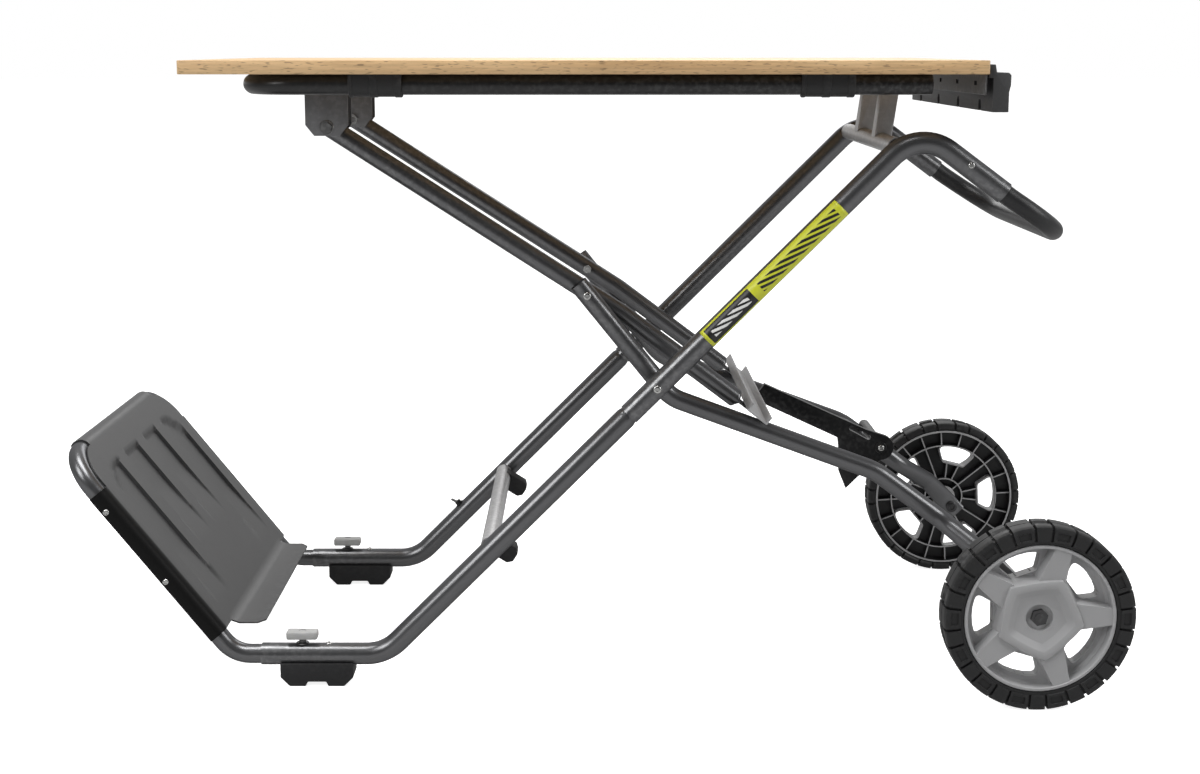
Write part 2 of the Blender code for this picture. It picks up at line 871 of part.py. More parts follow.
def wheel(label, outward):
    """A moulded rim with five spokes over a windowed web, and its tyre."""
    barrel = rim_radius - barrel_wall
    turn = far_turn if outward > 0 else 0
    profile = [
        (hub_bore, -hub_inner),
        (hub_radius, -hub_inner),
        (hub_radius, web_back),
        (hub_ring - circle_wall, web_back),
        (hub_ring - circle_wall, -circle_depth),
        (hub_ring, -circle_depth),
        (hub_ring, web_back),
        (circle_radius - circle_wall, web_back),
        (circle_radius - circle_wall, -circle_depth),
        (circle_radius, -circle_depth),
        (circle_radius, web_back),
        (flange_radius - flange_wall, web_back),
        (flange_radius - flange_wall, -barrel_half),
        (flange_radius, -barrel_half),
        (flange_radius, web_front),
        (rim_radius, web_front),
        (rim_radius, barrel_half),
        (barrel, barrel_half),
        (barrel, web_front),
        (hub_bore, web_front),
    ]
    place = shifted(wheel_centre, outward * wheel_y)
    rim = node(
        f"{label}_wheel_rim",
        turned(profile, place, outward, 32, ring=True),
        grey_plastic(f"{label} rim plastic"),
        wheel_centre,
    )

    def spot(radius, angle, distance):
        return around(radius, angle, wheel_y + distance, outward)

    y_axis = Vector((0, outward, 0))
    def window(bm, middle, spare, low, high):
        """One window's outline, widened by spare."""
        rim_side = circle_radius - circle_wall + min(spare, circle_wall / 2)
        wide = window_half + spare / circle_radius
        corners = [spot(rim_side, middle + wide * t, 0) for t in (-1, -0.5, 0, 0.5, 1)]
        for t in (window_taper, -window_taper):
            corners.append(spot(window_inner - spare, middle + wide * t, 0))
        add_prism(bm, corners, low, high, y_axis)

    def rib(angle, inner_radius, outer_radius):
        radial = Vector((math.cos(angle), 0, math.sin(angle)))
        tangent = Vector((-math.sin(angle), 0, math.cos(angle))) * rib_width / 2
        inner = place + radial * inner_radius
        outer = place + radial * outer_radius
        corners = [inner + tangent, inner - tangent, outer - tangent, outer + tangent]
        add_prism(added, corners, -circle_depth * 0.9, web_back / 2, y_axis)

    windows = bmesh.new()
    frames = bmesh.new()
    added = bmesh.new()
    for index in range(spokes):
        middle = turn + spoke_angle + math.tau * (index + 0.5) / spokes
        window(windows, middle, 0, -2 * circle_depth, 2 * circle_depth)
        window(frames, middle, window_wall, -circle_depth, web_back / 2)
        for side_angle in (-hub_rib_angle, hub_rib_angle):
            rib(middle + side_angle, hub_ring - circle_wall / 2, window_inner)
        angle = turn + spoke_angle + math.tau * index / spokes
        radial = Vector((math.cos(angle), 0, math.sin(angle)))
        tangent = Vector((-math.sin(angle), 0, math.cos(angle)))
        inner = place + radial * boss_recess
        outer = place + radial * (barrel + barrel_wall / 2)
        corners = [
            inner + tangent * spoke_inner / 2,
            inner - tangent * spoke_inner / 2,
            outer - tangent * (spoke_inner - spoke_outer) / 2,
            outer + tangent * (spoke_inner - spoke_outer) / 2,
        ]
        add_prism(added, corners, web_back / 2, spoke_face, y_axis)
    per_spoke = rib_count // spokes
    for index in range(rib_count):
        angle = turn + spoke_angle + math.tau * index / rib_count
        inner_radius = circle_radius - circle_wall / 2 if index % per_spoke else hub_radius * 0.9
        rib(angle, inner_radius, flange_radius - flange_wall / 2)
    pentagon = [turn + boss_angle + math.tau * i / spokes for i in range(spokes)]
    boss = prism([spot(boss_vertex, a, 0) for a in pentagon], web_back / 2, boss_face, y_axis)
    recess = prism(
        [spot(boss_recess, a, 0) for a in pentagon],
        boss_face - boss_recess_depth,
        2 * boss_face,
        y_axis,
    )
    outside = 2 * boss_face
    pocket = [(0, hub_face), (nut_pocket, hub_face), (nut_pocket, outside), (0, outside)]
    pocket = turned(pocket, place, outward, 16)
    bore = [(0, -outside), (hub_bore, -outside), (hub_bore, outside), (0, outside)]
    bore = turned(bore, place, outward, 32)
    boolean(rim, helper(f"{label}_window_frames", frames, wheel_centre), "UNION")
    boolean(rim, helper(f"{label}_spokes_and_ribs", added, wheel_centre), "UNION")
    boolean(rim, helper(f"{label}_boss", boss, wheel_centre), "UNION")
    boolean(rim, helper(f"{label}_windows", windows, wheel_centre))
    boolean(rim, helper(f"{label}_recess", recess, wheel_centre))
    boolean(rim, helper(f"{label}_pocket", pocket, wheel_centre))
    boolean(rim, helper(f"{label}_bore", bore, wheel_centre))
    half = tyre_width / 2
    inner = rim_radius + gap
    flange = flange_radius + gap
    profile = [
        (flange, web_front + gap),
        (flange, -half * 0.85),
        (flange + 0.002, -half),
        (tyre_radius - 0.008, -half),
        (tyre_radius - 0.001, -half * 0.95),
        (tyre_radius, -half * 0.5),
        (tyre_radius, half * 0.5),
        (tyre_radius - 0.001, half * 0.95),
        (tyre_radius - 0.008, half),
        (inner + 0.010, half),
        (inner, half * 0.85),
        (inner, web_front + gap),
    ]
    bm = turned(profile, place, outward, lug_pairs * 4, ring=True)
    for vert in bm.verts:
        offset = vert.co - place
        radius = math.hypot(offset.x, offset.z)
        step = round(math.atan2(offset.z, offset.x) / math.tau * lug_pairs * 4)
        if abs(offset.y) > half * 0.7 and radius > tyre_radius - lug_reach and step % 4 in (1, 3):
            offset.x *= 1 - lug_depth / radius
            offset.z *= 1 - lug_depth / radius
            vert.co = place + offset
    node(f"{label}_tyre", bm, black_rubber(f"{label} tyre rubber"), wheel_centre)


def add_prism(bm, corners, low, high, along):
    verts = [bm.verts.new(point + along * low) for point in corners]
    made = bmesh.ops.extrude_face_region(bm, geom=[bm.faces.new(verts)])["geom"]
    top = [item for item in made if isinstance(item, bmesh.types.BMVert)]
    bmesh.ops.translate(bm, verts=top, vec=along * (high - low))


channel_way = Vector((math.cos(channel_slope), 0, -math.sin(channel_slope)))
channel_up = Vector((math.sin(channel_slope), 0, math.cos(channel_slope)))
tube_top_line = wheel_elbow + side(0, wheel_tube_radius / math.cos(knee_drop) + gap)
channel_low = side(channel_low_x, tube_top_line.z - (channel_low_x - wheel_elbow.x) * math.tan(knee_drop))
channel_left = channel_low - channel_way * channel_web


def link_tube(label, outward):
    """The arm from the table pivot past the link pivot to the channel, flattened under its web."""
    y = outward * link_y
    up = (table_pivot - link_pivot).normalized()
    bend = link_pivot - up * (link_bend_x / abs(up.x))
    under = channel_up * (tongue_half + gap)
    tongue_start = channel_left - channel_way * tongue_margin - under
    tongue_end = channel_left + channel_way * (channel_web * tongue_share) - under
    neck = tongue_start - channel_way * neck_length
    obj = tube(
        f"{label}_link_tube",
        [
            (shifted(table_pivot + up * wheel_tube_radius, y), 0, round_wheel),
            (shifted(bend, y), link_bend, round_wheel),
            (shifted(neck, y), neck_bend, round_wheel),
            (shifted(tongue_start, y), 0, (tongue_half, wheel_tube_radius)),
            (shifted(tongue_end, y), 0, (tongue_half, wheel_tube_radius)),
        ],
        wheel_tube_wall,
        grey_steel(f"{label} link tube paint"),
        link_pivot,
    )
    reach = 2 * wheel_tube_radius
    drill(obj, shifted(link_pivot, y), hole, -reach, reach, link_pivot)
    drill(obj, shifted(table_pivot, y), hole, -reach, reach, link_pivot)


def cross_channel():
    """The light channel that ties both arms and comes to rest on the wheel tubes."""
    t = channel_thickness
    a = channel_left
    b = channel_low
    rise = channel_up * channel_flange
    outline = [
        a,
        b,
        b + rise,
        b + rise - channel_way * t,
        b - channel_way * t + channel_up * t,
        a + channel_way * t + channel_up * t,
        a + rise + channel_way * t,
        a + rise,
    ]
    bm = prism(outline, -channel_half_length, channel_half_length)
    node("cross_channel", bm, light_steel("channel paint"), link_pivot, smooth=False)


def link_hardware(label, outward):
    bolt(
        f"{label}_link_bolt",
        link_pivot,
        outward,
        wheel_outer_y + gap,
        link_inner_y - gap - nut_height,
        bolt_shank,
        pivot_head,
        bolt_head_height,
        link_pivot,
    )
    nut(
        f"{label}_link_nut",
        link_pivot,
        outward,
        link_inner_y - gap,
        bolt_shank,
        bolt_head,
        nut_height - gap,
        link_pivot,
    )


def table_bracket(label, outward):
    """A folded clevis under the top, with its bolt and nut."""
    half = wheel_tube_radius + bracket_play
    outer = link_y + half + bracket_thickness
    inner = link_y - half - bracket_thickness
    left = table_pivot.x - bracket_length / 2
    right = table_pivot.x + bracket_length / 2
    low = table_pivot.z - bracket_drop
    high = top_under - gap
    outline = [
        side(left, high),
        side(left, low + bracket_chamfer),
        side(left + bracket_chamfer * 0.8, low),
        side(right - bracket_chamfer * 0.8, low),
        side(right, low + bracket_chamfer),
        side(right, high),
    ]
    y = outward * link_y
    bm = prism(outline, y - half - bracket_thickness, y + half + bracket_thickness)
    paint = light_steel(f"{label} bracket paint")
    obj = node(f"{label}_table_bracket", bm, paint, table_pivot, smooth=False)
    room = box(
        (left - bracket_length, y - half, low - bracket_length),
        (right + bracket_length, y + half, high - bracket_thickness),
    )
    boolean(obj, helper(f"{label}_bracket_room", room, table_pivot))
    drill(obj, shifted(table_pivot, y), hole, -2 * half, 2 * half, table_pivot)
    bolt(
        f"{label}_table_bolt",
        table_pivot,
        outward,
        outer + gap,
        inner - gap - nut_height,
        bolt_shank,
        bolt_head * 1.1,
        bolt_head_height,
        table_pivot,
    )
    nut(
        f"{label}_table_nut",
        table_pivot,
        outward,
        inner - gap,
        bolt_shank,
        bolt_head,
        nut_height - gap,
        table_pivot,
    )


def table_top():
    """The beech board and the U-shaped rail under it."""
    board = box(
        (top_left, -top_width / 2, top_under),
        (top_left + top_length, top_width / 2, top_height),
    )
    uprights = [edge for edge in board.edges if edge.verts[0].co.z != edge.verts[1].co.z]
    bmesh.ops.bevel(
        board,
        geom=uprights,
        offset=top_corner,
        segments=2,
        affect="EDGES",
        profile=0.5,
        material=-1,
    )
    node("worktop", board, beech("beech board"), table_pivot, smooth=False)
    tube(
        "table_rail",
        [
            (side(rail_right, rail_z, -rail_y), 0, round_rail),
            (side(rail_left, rail_z, -rail_y), rail_bend, round_rail),
            (side(rail_left, rail_z, rail_y), rail_bend, round_rail),
            (side(rail_right, rail_z, rail_y), 0, round_rail),
        ],
        rail_wall,
        black_steel("rail paint"),
        table_pivot,
    )


def rail_clip(label, outward, centre):
    """A ribbed saddle that holds the rail to the board."""
    y = outward * rail_y
    bore = rail_radius + gap
    outer = bore + clip_wall
    high = top_under - gap
    outline = [side(0, high, y - outer), side(0, rail_z, y - outer)]
    outline += [
        side(0, rail_z, y) + Vector((0, math.cos(a), math.sin(a))) * outer
        for a in [math.radians(angle) for angle in (210, 240, 270, 300, 330)]
    ]
    outline += [side(0, rail_z, y + outer), side(0, high, y + outer)]
    bm = prism(outline, centre - clip_length / 2, centre + clip_length / 2, Vector((1, 0, 0)))
    plastic = black_plastic(f"{label} clip plastic")
    obj = node(f"{label}_rail_clip", bm, plastic, table_pivot, smooth=False)
    circle = [
        side(0, rail_z, y) + Vector((0, math.cos(a), math.sin(a))) * (bore + gap)
        for a in [math.tau * (i + 0.5) / 24 for i in range(24)]
    ]
    room = prism(circle, centre - clip_length, centre + clip_length, Vector((1, 0, 0)))
    boolean(obj, helper(f"{label}_clip_room", room, table_pivot))
    slot = box(
        (centre - clip_length, y - bore * clip_slot, rail_z),
        (centre + clip_length, y + bore * clip_slot, high + clip_wall),
    )
    boolean(obj, helper(f"{label}_clip_slot", slot, table_pivot))


def tool_tray():
    """The slotted strip under the end of the top and the notched tray beyond it."""
    end = top_left + top_length
    strip_right = end - tray_plate_setback
    strip_left = strip_right - tray_plate_thickness
    high = top_under - gap
    half = top_width / 2 - tray_plate_setback
    strip = node(
        "tray_plate",
        box((strip_left, -half, high - tray_plate_height), (strip_right, half, high)),
        grey_steel("tray plate paint"),
        table_pivot,
        smooth=False,
    )
    slots = bmesh.new()
    for index in range(-2, 3):
        y = index * tray_plate_slot_pitch
        low = high - tray_plate_slot_drop
        corners = [
            Vector((0, y - tray_plate_slot / 2, low)),
            Vector((0, y + tray_plate_slot / 2, low)),
            Vector((0, y + tray_plate_slot / 2, low + tray_plate_slot_height)),
            Vector((0, y - tray_plate_slot / 2, low + tray_plate_slot_height)),
        ]
        add_prism(slots, corners, strip_left - tray_wall, strip_right + tray_wall, Vector((1, 0, 0)))
    boolean(strip, helper("tray_plate_slots", slots, table_pivot))
    face = end + gap
    back = end + tray_depth
    top = top_height - tray_top_drop
    bottom = top_height - tray_drop
    shelf = top - tray_shelf_drop
    under = high - tray_under_drop
    inner = end + tray_inset
    outline = [
        side(face, top),
        side(face + tray_lip, top),
        side(face + tray_lip + tray_slant, shelf),
        side(back - tray_nose, shelf),
        side(back, shelf - tray_nose),
        side(back, shelf - tray_nose_height),
        side(back - tray_slant, shelf - tray_nose_foot),
        side(back - tray_slant, bottom),
        side(inner, bottom),
        side(inner, under),
        side(face, under),
    ]
    bm = prism(outline, -tray_length / 2, tray_length / 2)
    tray = node("tool_tray", bm, black_plastic("tray plastic"), table_pivot, smooth=False)
    notches = bmesh.new()
    for index in (-1.5, -0.5, 0.5, 1.5):
        y = index * tray_notch_pitch
        low = bottom - tray_wall
        corners = [
            Vector((0, y - tray_notch / 2, low)),
            Vector((0, y + tray_notch / 2, low)),
            Vector((0, y + tray_notch / 2, bottom + tray_notch_height * 0.7)),
            Vector((0, y + tray_notch / 4, bottom + tray_notch_height)),
            Vector((0, y - tray_notch / 4, bottom + tray_notch_height)),
            Vector((0, y - tray_notch / 2, bottom + tray_notch_height * 0.7)),
        ]
        add_prism(notches, corners, inner - tray_wall, inner + tray_wall, Vector((1, 0, 0)))
    wells = bmesh.new()
    for index in (-1.5, -0.5, 0.5, 1.5):
        y = index * tray_notch_pitch
        reach = tray_notch_pitch / 2 - tray_wall
        corners = [
            Vector((inner + tray_wall, y - reach, 0)),
            Vector((back - tray_slant - tray_wall, y - reach, 0)),
            Vector((back - tray_slant - tray_wall, y + reach, 0)),
            Vector((inner + tray_wall, y + reach, 0)),
        ]
        well_top = shelf - tray_nose_foot - tray_wall
        add_prism(wells, corners, bottom - tray_wall, well_top, Vector((0, 0, 1)))
    boolean(tray, helper("tray_notches", notches, table_pivot))
    boolean(tray, helper("tray_wells", wells, table_pivot))


def latch():
    """The pin tube that stands off the far wheel tube and the lever that turns on it."""
    nearest = latch_above * math.cos(shin_drop) - latch_pin_radius
    end = wheel_frame_y - math.sqrt(wheel_tube_radius**2 - nearest**2) - gap
    pin = (latch_pin_radius, latch_pin_radius)
    start = -latch_thickness / 2 - latch_pin_stub
    tube(
        "latch_cross_tube",
        [(shifted(latch_pivot, start), 0, pin), (shifted(latch_pivot, end), 0, pin)],
        cross_wall,
        grey_steel("latch tube paint"),
        main_pivot,
        across=Vector((1, 0, 0)),
    )
    back = Vector((-math.cos(latch_bar_slope), 0, math.sin(latch_bar_slope)))
    up = Vector((math.sin(latch_bar_slope), 0, math.cos(latch_bar_slope)))
    swept = (channel_low + channel_up * channel_flange - link_pivot).length + latch_tip_gap
    bar_low = latch_pivot - up * latch_bar_drop
    bar_high = bar_low + up * latch_bar
    tips = []
    for start in (bar_high, bar_low):
        offset = start - link_pivot
        along = -offset.dot(back)
        root = math.sqrt(along**2 - offset.length_squared + swept**2)
        tips.append(start + back * (along - root))
    reach = (tips[0] - bar_high).dot(back)
    tip_high = bar_high + back * reach
    arc = [math.radians(a) for a in (60, 30, 0, -30, -60, -90)]
    eye = [latch_pivot + Vector((math.cos(a), 0, math.sin(a))) * latch_eye for a in arc]
    outline = [
        tip_high,
        tips[1],
        *[latch_pivot + side(x, z) for x, z in latch_pull],
        *reversed(eye),
        bar_high + back * latch_shoulder,
    ]
    bm = prism(outline, -latch_thickness / 2, latch_thickness / 2)
    lever = node("latch_lever", bm, black_steel("latch paint"), latch_pivot, smooth=False)
    bore = latch_pin_radius + bolt_clearance
    drill(lever, latch_pivot, bore, -latch_thickness, latch_thickness, latch_pivot)
    slot_way = Vector((math.cos(latch_slot_slope), 0, -math.sin(latch_slot_slope)))
    slot_up = Vector((math.sin(latch_slot_slope), 0, math.cos(latch_slot_slope))) * latch_slot_height / 2
    slot_left = latch_pivot + side(-latch_slot_reach, latch_slot_rise)
    slot_right = slot_left + slot_way * latch_slot_length
    slot = prism(
        [slot_left - slot_up, slot_right - slot_up, slot_right + slot_up, slot_left + slot_up],
        -latch_thickness,
        latch_thickness,
    )
    boolean(lever, helper("latch_slot", slot, latch_pivot))


frame_cross_members()
handle_bar()
toe_frame()
toe_plate()
cross_channel()
table_top()
tool_tray()
latch()
for label, outward in (("near", -1), ("far", 1)):
    side_frame(label, outward)
    main_pivot_hardware(label, outward)
    foot(label, outward)
    clamp_knob(label, outward)
    wheel_tube(label, outward)
    axle_hardware(label, outward)
    wheel(label, outward)
    link_tube(label, outward)
    link_hardware(label, outward)
    table_bracket(label, outward)
    for place, centre in zip(("left", "right"), clip_centres):
        rail_clip(f"{label}_{place}", outward, centre)
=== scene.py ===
"""Looks of the folding mobile workbench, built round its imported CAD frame. Metres, +Z up,
+X along the top towards the handle, +Y away from the viewer. The near side is -Y."""

import math

import bmesh
import bpy
from mathutils import Matrix, Vector


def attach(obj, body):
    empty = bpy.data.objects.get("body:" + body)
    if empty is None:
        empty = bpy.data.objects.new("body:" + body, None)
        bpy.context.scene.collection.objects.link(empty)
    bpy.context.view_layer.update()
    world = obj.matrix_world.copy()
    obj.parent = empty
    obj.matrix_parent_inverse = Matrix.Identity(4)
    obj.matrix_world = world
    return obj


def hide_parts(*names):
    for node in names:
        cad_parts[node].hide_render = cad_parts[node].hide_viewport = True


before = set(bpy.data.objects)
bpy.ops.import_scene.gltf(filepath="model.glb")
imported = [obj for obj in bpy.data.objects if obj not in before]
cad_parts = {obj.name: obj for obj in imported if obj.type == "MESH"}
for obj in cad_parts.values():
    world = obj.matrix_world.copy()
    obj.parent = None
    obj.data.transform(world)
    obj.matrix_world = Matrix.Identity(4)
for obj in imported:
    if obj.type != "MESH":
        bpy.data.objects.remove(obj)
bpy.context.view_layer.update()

# Side tubes of the handle frame: two lengths of round steel tube a side, the lower one
# swaged so that it plugs into the upper one, bent at the foot and under the handle.
# Bent and swaged tube, powder coated in a dark metallic grey with a satin gloss.
both_sides = (("near", -1), ("far", 1))
x_way, y_way, z_way = (row.copy() for row in Matrix.Identity(3))
centre_shift = 0.0017666
tube_sides = 32
bend_step = math.radians(6)
smooth_angle = 35
gap = 0.0003
frame_y = 0.2016
frame_radius = 0.0143
frame_wall = 0.0015
foot_tube_x = -0.430
foot_tube_z = 0.039
foot_bend = 0.060
handle_bend = 0.055
joint_along = 0.456
spigot_length = 0.035
swage_length = 0.006
handle_slope = math.radians(36.5)
handle_leg = 0.136
pivot_x = 0.090


def spot(x, z, y=0.0):
    """A place in the side view: x from the link pivot, z from the floor, y across."""
    return Vector((x - centre_shift, y, z))


def sideways(point, y):
    return Vector((point.x, y, point.z))


def heading(angle):
    """A direction in the side view, by its angle above +X."""
    return Vector((math.cos(angle), 0, math.sin(angle)))


def node(tree, kind, settings, *inputs, **named):
    """A shader node; each input is a value, an output socket, or None to leave it alone."""
    made = tree.nodes.new("ShaderNode" + kind)
    for key, value in settings.items():
        setattr(made, key, value)
    for key, value in [*enumerate(inputs), *named.items()]:
        socket = made.inputs[key if isinstance(key, int) else key.replace("_", " ")]
        if isinstance(value, bpy.types.NodeSocket):
            tree.links.new(value, socket)
        elif value is not None:
            socket.default_value = value
    return made


def sums(tree, operation, *inputs):
    return node(tree, "Math", {"operation": operation}, *inputs).outputs[0]


def ranged(tree, value, low, high, to_low=0.0, to_high=1.0):
    return node(tree, "MapRange", {}, value, low, high, to_low, to_high).outputs[0]


def blend(tree, factor, first, second):
    """The first colour where the factor is nought, the second where it is one."""
    inputs = [factor, *[None] * 5, first, second]
    return node(tree, "Mix", {"data_type": "RGBA"}, *inputs).outputs[2]


def noise(tree, place, scale, **settings):
    return node(tree, "TexNoise", {}, Vector=place, Scale=scale, **settings).outputs["Fac"]


def scaled(tree, colour, factor):
    return node(tree, "VectorMath", {"operation": "SCALE"}, colour, Scale=factor).outputs[0]


def object_place(tree):
    return tree.nodes.new("ShaderNodeTexCoord").outputs["Object"]


def group_sockets(tree, direction, rows):
    for name, value in rows.items():
        kind = "NodeSocketColor" if isinstance(value, tuple) else "NodeSocketFloat"
        socket = tree.interface.new_socket(name=name, in_out=direction, socket_type=kind)
        socket.default_value = value


def coat_texture():
    """Colour drift, roughness drift and a fine peel, for anything sprayed, plated or moulded."""
    tree = bpy.data.node_groups.new("coat_texture", "ShaderNodeTree")
    grey = (0.1, 0.1, 0.1, 1)
    group_sockets(tree, "INPUT", {"Colour": grey, "Drift": 0.06, "Roughness": 0.35, "Roughness drift": 0.05,
                                  "Peel size": 900.0, "Speck": 0.0})
    group_sockets(tree, "OUTPUT", {"Colour": grey, "Roughness": 0.35, "Height": 0.0})
    given = tree.nodes.new("NodeGroupInput").outputs
    out = tree.nodes.new("NodeGroupOutput").inputs
    place = object_place(tree)
    broad = sums(tree, "SUBTRACT", noise(tree, place, 14.0, Detail=4.0, Roughness=0.6), 0.5)
    flake = sums(tree, "SUBTRACT", noise(tree, place, 2600.0, Detail=0.0), 0.5)
    drift = sums(tree, "MULTIPLY_ADD", broad, given["Drift"], 1.0)
    shade = sums(tree, "MULTIPLY_ADD", flake, given["Speck"], drift)
    rough = sums(tree, "MULTIPLY_ADD", broad, given["Roughness drift"], given["Roughness"])
    tree.links.new(scaled(tree, given["Colour"], shade), out["Colour"])
    tree.links.new(rough, out["Roughness"])
    tree.links.new(noise(tree, place, given["Peel size"], Detail=2.0, Roughness=0.5), out["Height"])
    return tree


def edge_wear():
    """Mixes a worn tone in on sharp outer edges, broken up by noise."""
    tree = bpy.data.node_groups.new("edge_wear", "ShaderNodeTree")
    group_sockets(tree, "INPUT", {"Colour": (0.1, 0.1, 0.1, 1), "Worn": (0.4, 0.4, 0.4, 1)})
    group_sockets(tree, "OUTPUT", {"Colour": (0.1, 0.1, 0.1, 1)})
    given = tree.nodes.new("NodeGroupInput").outputs
    out = tree.nodes.new("NodeGroupOutput").inputs
    edge = ranged(tree, tree.nodes.new("ShaderNodeNewGeometry").outputs["Pointiness"], 0.53, 0.62)
    patchy = ranged(tree, noise(tree, object_place(tree), 160.0, Detail=3.0), 0.45, 0.65)
    amount = sums(tree, "MULTIPLY", sums(tree, "MULTIPLY", edge, patchy), 0.5)
    tree.links.new(blend(tree, amount, given["Colour"], given["Worn"]), out["Colour"])
    return tree


coat_group = coat_texture()
wear_group = edge_wear()


def surface(name):
    """A new material, with its node tree and its shader's inputs."""
    material = bpy.data.materials.new(name)
    material.use_nodes = True
    tree = material.node_tree
    return material, tree, tree.nodes["Principled BSDF"].inputs


def grained(tree, shader, height, strength, distance=0.001):
    relief = node(tree, "Bump", {}, Strength=strength, Distance=distance, Height=height)
    tree.links.new(relief.outputs["Normal"], shader["Normal"])


def coated(name, colour, rough, metallic, drift, peel, bump, speck=0.0, worn=None, edge_tint=None,
           rough_drift=0.05, specular=0.5):
    """A material made from the coat texture, with worn edges where a worn tone is given."""
    material, tree, shader = surface(name)
    texture = node(tree, "Group", {"node_tree": coat_group}, Colour=(*colour, 1), Drift=drift, Speck=speck,
                   Roughness=rough, Roughness_drift=rough_drift, Peel_size=peel).outputs
    tone = texture["Colour"]
    if worn:
        tone = node(tree, "Group", {"node_tree": wear_group}, Colour=tone, Worn=(*worn, 1)).outputs["Colour"]
    tree.links.new(tone, shader["Base Color"])
    tree.links.new(texture["Roughness"], shader["Roughness"])
    grained(tree, shader, texture["Height"], bump)
    shader["Metallic"].default_value = metallic
    shader["Specular IOR Level"].default_value = specular
    if edge_tint:
        shader["Specular Tint"].default_value = (*edge_tint, 1)
    return material


def piece(name, bm, body, material, stands_for=(), smooth=smooth_angle):
    """One finished object at the origin, riding on its body."""
    mesh = bpy.data.meshes.new(name)
    bm.to_mesh(mesh)
    bm.free()
    mesh.shade_smooth()
    mesh.set_sharp_from_angle(angle=math.radians(smooth))
    obj = bpy.data.objects.new(name, mesh)
    bpy.context.collection.objects.link(obj)
    mesh.materials.append(material)
    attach(obj, body)
    if stands_for:
        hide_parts(*stands_for)
    return obj


def run(y, *corners):
    """Corners of the side view at one distance across."""
    return [(sideways(point, y), bend, section) for point, bend, section in corners]


def route(corners):
    """Points with their section, with an arc of the corner's radius at each bend."""
    points = [(corners[0][0], corners[0][2])]
    for before, (corner, radius, section), after in zip(corners, corners[1:], corners[2:]):
        back = (before[0] - corner).normalized()
        ahead = (after[0] - corner).normalized()
        turn = math.pi - back.angle(ahead)
        if radius == 0 or turn < math.radians(0.5):
            points.append((corner, section))
            continue
        centre = corner + (back + ahead).normalized() * radius / math.cos(turn / 2)
        arm = corner + back * radius * math.tan(turn / 2) - centre
        end = corner + ahead * radius * math.tan(turn / 2) - centre
        axis = arm.cross(end).normalized()
        steps = max(2, round(turn / bend_step))
        for index in range(steps + 1):
            bend = Matrix.Rotation(turn * index / steps, 3, axis)
            points.append((centre + bend @ arm, section))
    points.append((corners[-1][0], corners[-1][2]))
    return points


def tube(corners, wall, across=y_way):
    """A ring drawn out along a bent line, open at both ends, and given its wall."""
    points = route(corners)
    bm = bmesh.new()
    ring = bmesh.ops.create_circle(bm, segments=tube_sides, radius=1, cap_ends=False)["verts"]
    edges = list(bm.edges)
    last = Matrix.Identity(4)
    for index, (point, section) in enumerate(points):
        before = points[max(index - 1, 0)][0]
        after = points[min(index + 1, len(points) - 1)][0]
        way = ((point - before).normalized() + (after - point).normalized()).normalized()
        across = (across - way * across.dot(way)).normalized()
        turn = Matrix((way.cross(across), across, way)).transposed().to_4x4()
        here = Matrix.Translation(point) @ turn @ Matrix.Diagonal((*section, 1, 1))
        if index:
            made = bmesh.ops.extrude_edge_only(bm, edges=edges)["geom"]
            ring = [item for item in made if isinstance(item, bmesh.types.BMVert)]
            edges = [item for item in made if isinstance(item, bmesh.types.BMEdge)
                     and all(vert in ring for vert in item.verts)]
        bmesh.ops.transform(bm, matrix=here @ last.inverted(), verts=ring)
        last = here
    bmesh.ops.recalc_face_normals(bm, faces=bm.faces)
    bmesh.ops.solidify(bm, geom=bm.faces[:], thickness=wall)
    return bm


foot_corner = spot(-0.267, foot_tube_z)
handle_corner = spot(0.419, 0.731)
lean = (handle_corner - foot_corner).normalized()
handle_way = heading(-handle_slope)
main_pivot = foot_corner + lean * ((pivot_x - centre_shift - foot_corner.x) / lean.x)
round_frame = (frame_radius, frame_radius)
spigot = (frame_radius - frame_wall - gap,) * 2
swage = (frame_radius - frame_wall * 0.4,) * 2
joint = foot_corner + lean * joint_along
gunmetal_paint = coated("gunmetal_paint", (0.150, 0.151, 0.155), 0.30, 0.80, drift=0.015, peel=700.0,
                        bump=0.004, worn=(0.30, 0.30, 0.30), edge_tint=(0.35, 0.35, 0.36),
                        rough_drift=0.01)
for label, outward in both_sides:
    y = outward * frame_y
    lower = run(y, (spot(foot_tube_x, foot_tube_z), 0, round_frame), (foot_corner, foot_bend, round_frame),
                (joint - lean * swage_length, 0, round_frame), (joint - lean * swage_length * 0.6, 0, swage),
                (joint, 0, spigot), (joint + lean * spigot_length, 0, spigot))
    upper = run(y, (joint + lean * gap, 0, round_frame), (handle_corner, handle_bend, round_frame),
                (handle_corner + handle_way * handle_leg, 0, round_frame))
    for part, corners in (("lower", lower), ("upper", upper)):
        piece(f"{label}_{part}_tube", tube(corners, frame_wall), "frame", gunmetal_paint,
              [f"{label}_{part}_side_tube"])

# Screws that show on the frame: small pan-head screws with a cross recess, one in each
# handle leg and one beside each clamp knob. Zinc-plated steel, turned in by hand tool.
screw_radius = 0.0042
screw_height = 0.0022
handle_screw = (0.4827, 0.6860)
sleeve_screw_x = -0.342


